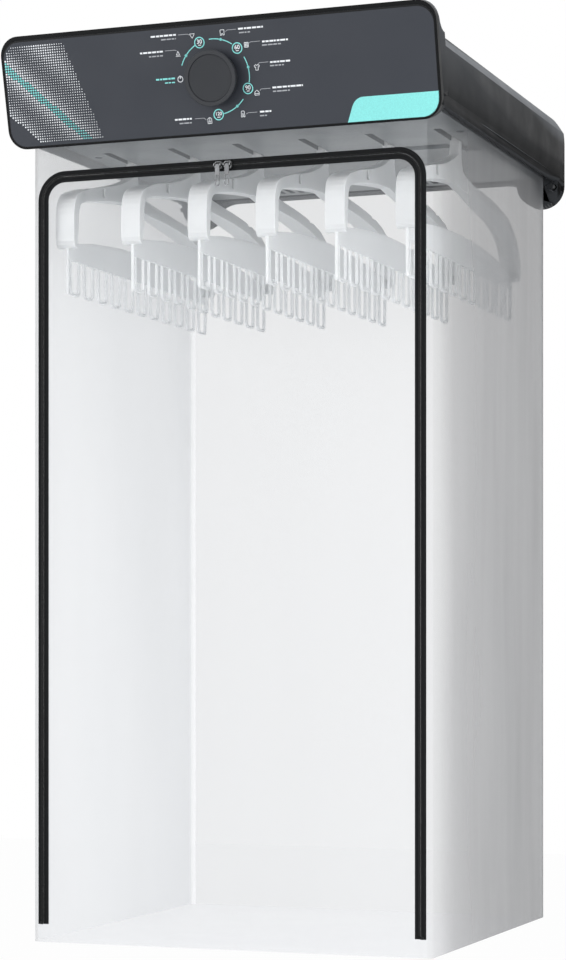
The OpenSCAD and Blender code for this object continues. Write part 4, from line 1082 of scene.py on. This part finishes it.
def zip_half(name_tape, name_teeth, node_tape, node_teeth, sign, low, body):
    edge, far = sign * zip_gap, sign * tape_w
    lines = [arch_line(d, low, 6.0) for d in (edge, far - sign * thin_w, far, far, edge)]
    face = tape_front - tape_t
    points, faces = strip_along(lines, (face, face, tape_front - thin_t, tape_front, tape_front))
    tape = piece_from(name_tape, points, faces, tape_cloth, body)
    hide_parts(node_tape)
    middle = arch_line(sign * coil_at, low + coil_foot, 1.0)
    spaced, left = [], 0.0
    for (x0, z0), (x1, z1) in zip(middle, middle[1:]):
        length = math.hypot(x1 - x0, z1 - z0)
        while left < length:
            t = left / length
            spaced.append((x0 + (x1 - x0) * t, z0 + (z1 - z0) * t,
                           (x1 - x0) / length, (z1 - z0) / length))
            left += coil_pitch
        left -= length
    teeth_points, teeth_faces = [], []
    front = tape_front - coil_t
    shoulder = front + coil_shoulder
    for x, z, tx, tz in spaced:
        start = len(teeth_points)
        for across, depth in ((-1.0, face), (-1.0, shoulder), (-0.6, front), (0.6, front),
                              (1.0, shoulder), (1.0, face)):
            for along in (-turn_half, turn_half):
                teeth_points.append(Vector((x - tz * across + tx * along, depth,
                                            z + tx * across + tz * along)) * mm)
        for j in range(5):
            a = start + 2 * j
            teeth_faces.append((a, a + 1, a + 3, a + 2))
        teeth_faces.append((start + 10, start + 11, start + 1, start))
        teeth_faces.append(tuple(start + 2 * j for j in range(6)))
        teeth_faces.append(tuple(start + 2 * j + 1 for j in reversed(range(6))))
    teeth = piece_from(name_teeth, teeth_points, teeth_faces, coil_plastic, body)
    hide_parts(node_teeth)


zip_half("zip_tape_cover", "zip_coil_cover", "zip_tape_outer", "zip_teeth_outer", 1, fold_z,
         "dryer")
zip_half("zip_tape_door", "zip_coil_door", "zip_tape_flap", "zip_teeth_flap", -1, fold_z + 0.3,
         "flap")
finish_node("zip_stops", coil_plastic)

# Sliders and pulls: a die-cast body with a well round its crown, and a pressed pull with a
# solid upper half and a wire loop below, which swings on the body's pin. The well's black floor
# is painted shade, and the crown's paler zinc is a painted highlight on the one casting.
rim_zinc = metal("rim_zinc", (0.2, 0.205, 0.21), 0.34, 400)
# Paler zinc of the crown: a painted highlight.
highlit_crown_zinc = metal("highlit_crown_zinc", (0.42, 0.43, 0.44), 0.26, 400)
pull_zinc = metal("pull_zinc", (0.13, 0.133, 0.138), 0.42, 400)


def ring_points(w, h, r, centre, depth):
    """A rounded rectangle facing the front, four points to each corner, in millimetres."""
    points = []
    for sx, sz, first in ((1, 1, 0), (-1, 1, 90), (-1, -1, 180), (1, -1, 270)):
        for a in range(first, first + 91, 30):
            t = math.radians(a)
            points.append(((centre[0] + sx * (w / 2 - r) + r * math.cos(t)) * mm, depth * mm,
                           (centre[1] + sz * (h / 2 - r) + r * math.sin(t)) * mm))
    return points


class Casting:
    """Collects turned-up rings of one small casting, each run of rings in one material."""

    corners = 16

    def __init__(self):
        self.points, self.faces, self.kinds = [], [], []

    def rings(self, levels, kind, front=None, back=True):
        start = len(self.points)
        n = self.corners
        for level in levels:
            self.points += ring_points(*level)
        for k in range(len(levels) - 1):
            for i in range(n):
                j = (i + 1) % n
                a, b = start + k * n, start + (k + 1) * n
                self.faces.append((a + i, a + j, b + j, b + i))
                self.kinds.append(kind)
        last = start + (len(levels) - 1) * n
        if front is not None:
            self.faces.append(tuple(range(last, last + n)))
            self.kinds.append(front)
        if back:
            self.faces.append(tuple(range(start + n - 1, start - 1, -1)))
            self.kinds.append(kind)

    def closed_loop(self, outer, inner, near, far):
        start = len(self.points)
        n = self.corners
        for shape, depth in ((outer, near), (inner, near), (inner, far), (outer, far)):
            self.points += ring_points(*shape, depth)
        for k in range(4):
            for i in range(n):
                j = (i + 1) % n
                a, b = start + k * n, start + (k + 1) % 4 * n
                self.faces.append((a + i, b + i, b + j, a + j))
                self.kinds.append(0)

    def make(self, name, materials, body, node, slot):
        made = piece_from(name, self.points, self.faces, materials[0], body)
        for extra in materials[1:]:
            made.data.materials.append(extra)
        made.data.polygons.foreach_set("material_index", self.kinds)
        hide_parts(node)


# Each ring: width, height, corner radius, middle and depth. A body has its rim, the well
# in it, the crown in the well, and two ears that hold the pull's pin.
PULL_Y = -547.2
EAR_OUT = 4
RIM, PAINTED_SHADE_WELL, CROWN = 0, 1, 2
for side, slider_x in (("left", -9.6), ("right", 2.6)):
    middle = (slider_x, zip_z)
    y0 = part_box(f"slider_{side}")[1][1] / mm
    cast_body = Casting()
    cast_body.rings([(10, 9, 2.6, middle, y0), (10, 9, 2.6, middle, y0 - 3.2),
                     (9.2, 8.2, 2.3, middle, y0 - 3.9), (7.9, 6.9, 1.9, middle, y0 - 4.0),
                     (7.3, 6.3, 1.7, middle, y0 - 3.5)], RIM)
    # Well floor in black oxide: painted shade in the recess.
    cast_body.rings([(7.3, 6.3, 1.7, middle, y0 - 3.5), (7.1, 6.1, 1.6, middle, y0 - 2.2)],
                    PAINTED_SHADE_WELL, PAINTED_SHADE_WELL, False)
    cast_body.rings([(4.6, 2.6, 1.1, middle, y0 - 2.2), (4.6, 2.6, 1.1, middle, y0 - 3.8),
                     (3.8, 1.8, 0.8, middle, y0 - 4.3)], CROWN, CROWN)
    for sx in (-1, 1):
        ear = (slider_x + EAR_OUT * sx, zip_z)
        cast_body.rings([(1.2, 3.4, 0.5, ear, y0 - 3.4), (1.2, 3.4, 0.5, ear, PULL_Y - 1.3),
                         (0.9, 2.6, 0.4, ear, PULL_Y - 1.6)], RIM, RIM)
    cast_body.make(f"slider_body_{side}", (rim_zinc, black_oxide, highlit_crown_zinc),
                   f"slider_{side}_body", f"slider_{side}", "zip_metal")
    tab = Casting()
    upper = (slider_x, zip_z - 6.0)
    tab.rings([(5.4, 13.4, 1.6, upper, PULL_Y + 0.5), (6.0, 14.0, 1.9, upper, PULL_Y + 0.25),
               (6.0, 14.0, 1.9, upper, PULL_Y - 0.35), (5.3, 13.3, 1.5, upper, PULL_Y - 0.65)],
              0, 0)
    lower = (slider_x, zip_z - 18.6)
    tab.closed_loop((5.6, 14.4, 2.6, lower), (3.9, 12.7, 1.8, lower), PULL_Y - 0.45,
                    PULL_Y + 0.35)
    tab.make(f"pull_tab_{side}", (pull_zinc,), f"pull_{side}_body", f"pull_{side}", "pull")

# Hangers: six milky polypropylene mouldings, each an arm with broad hollow shoulders over
# a comb of loops. Light comes a little way through them. They hang by T-heads in the tray.
hanger_plastic = bpy.data.materials.new("hanger_plastic")
hanger_plastic.use_nodes = True
milk = hanger_plastic.node_tree
milk_body = milk.nodes["Principled BSDF"]
milk_place = add(milk, "ShaderNodeTexCoord").outputs["Object"]
flow = noise_at(milk, milk_place, 30.0, 3.0)
milk_mix = add(milk, "ShaderNodeMix", data_type="RGBA")
milk.links.new(ranged(milk, flow, 0.3, 0.7, 0, 1), milk_mix.inputs["Factor"])
milk_mix.inputs["A"].default_value = (0.95, 0.975, 0.98, 1)
milk_mix.inputs["B"].default_value = (0.975, 0.99, 0.995, 1)
milk.links.new(milk_mix.outputs["Result"], milk_body.inputs["Base Color"])
put(milk_body, "Roughness", 0.34)
edge_on = add(milk, "ShaderNodeLayerWeight")
put(edge_on, "Blend", 0.5)
milk.links.new(ranged(milk, edge_on.outputs["Facing"], 0.0, 0.8, 0.7, 0.85),
               milk_body.inputs["Alpha"])
put(milk_body, "Subsurface Weight", 0.7)
put(milk_body, "Subsurface Radius", (1.0, 1.0, 1.0))
put(milk_body, "Subsurface Scale", 0.008)
milk.links.new(bumped(milk, noise_at(milk, milk_place, 1200, 2), 0.06, 0.0003),
               milk_body.inputs["Normal"])
for k in range(1, 7):
    finish_node(f"hanger_{k}", hanger_plastic)
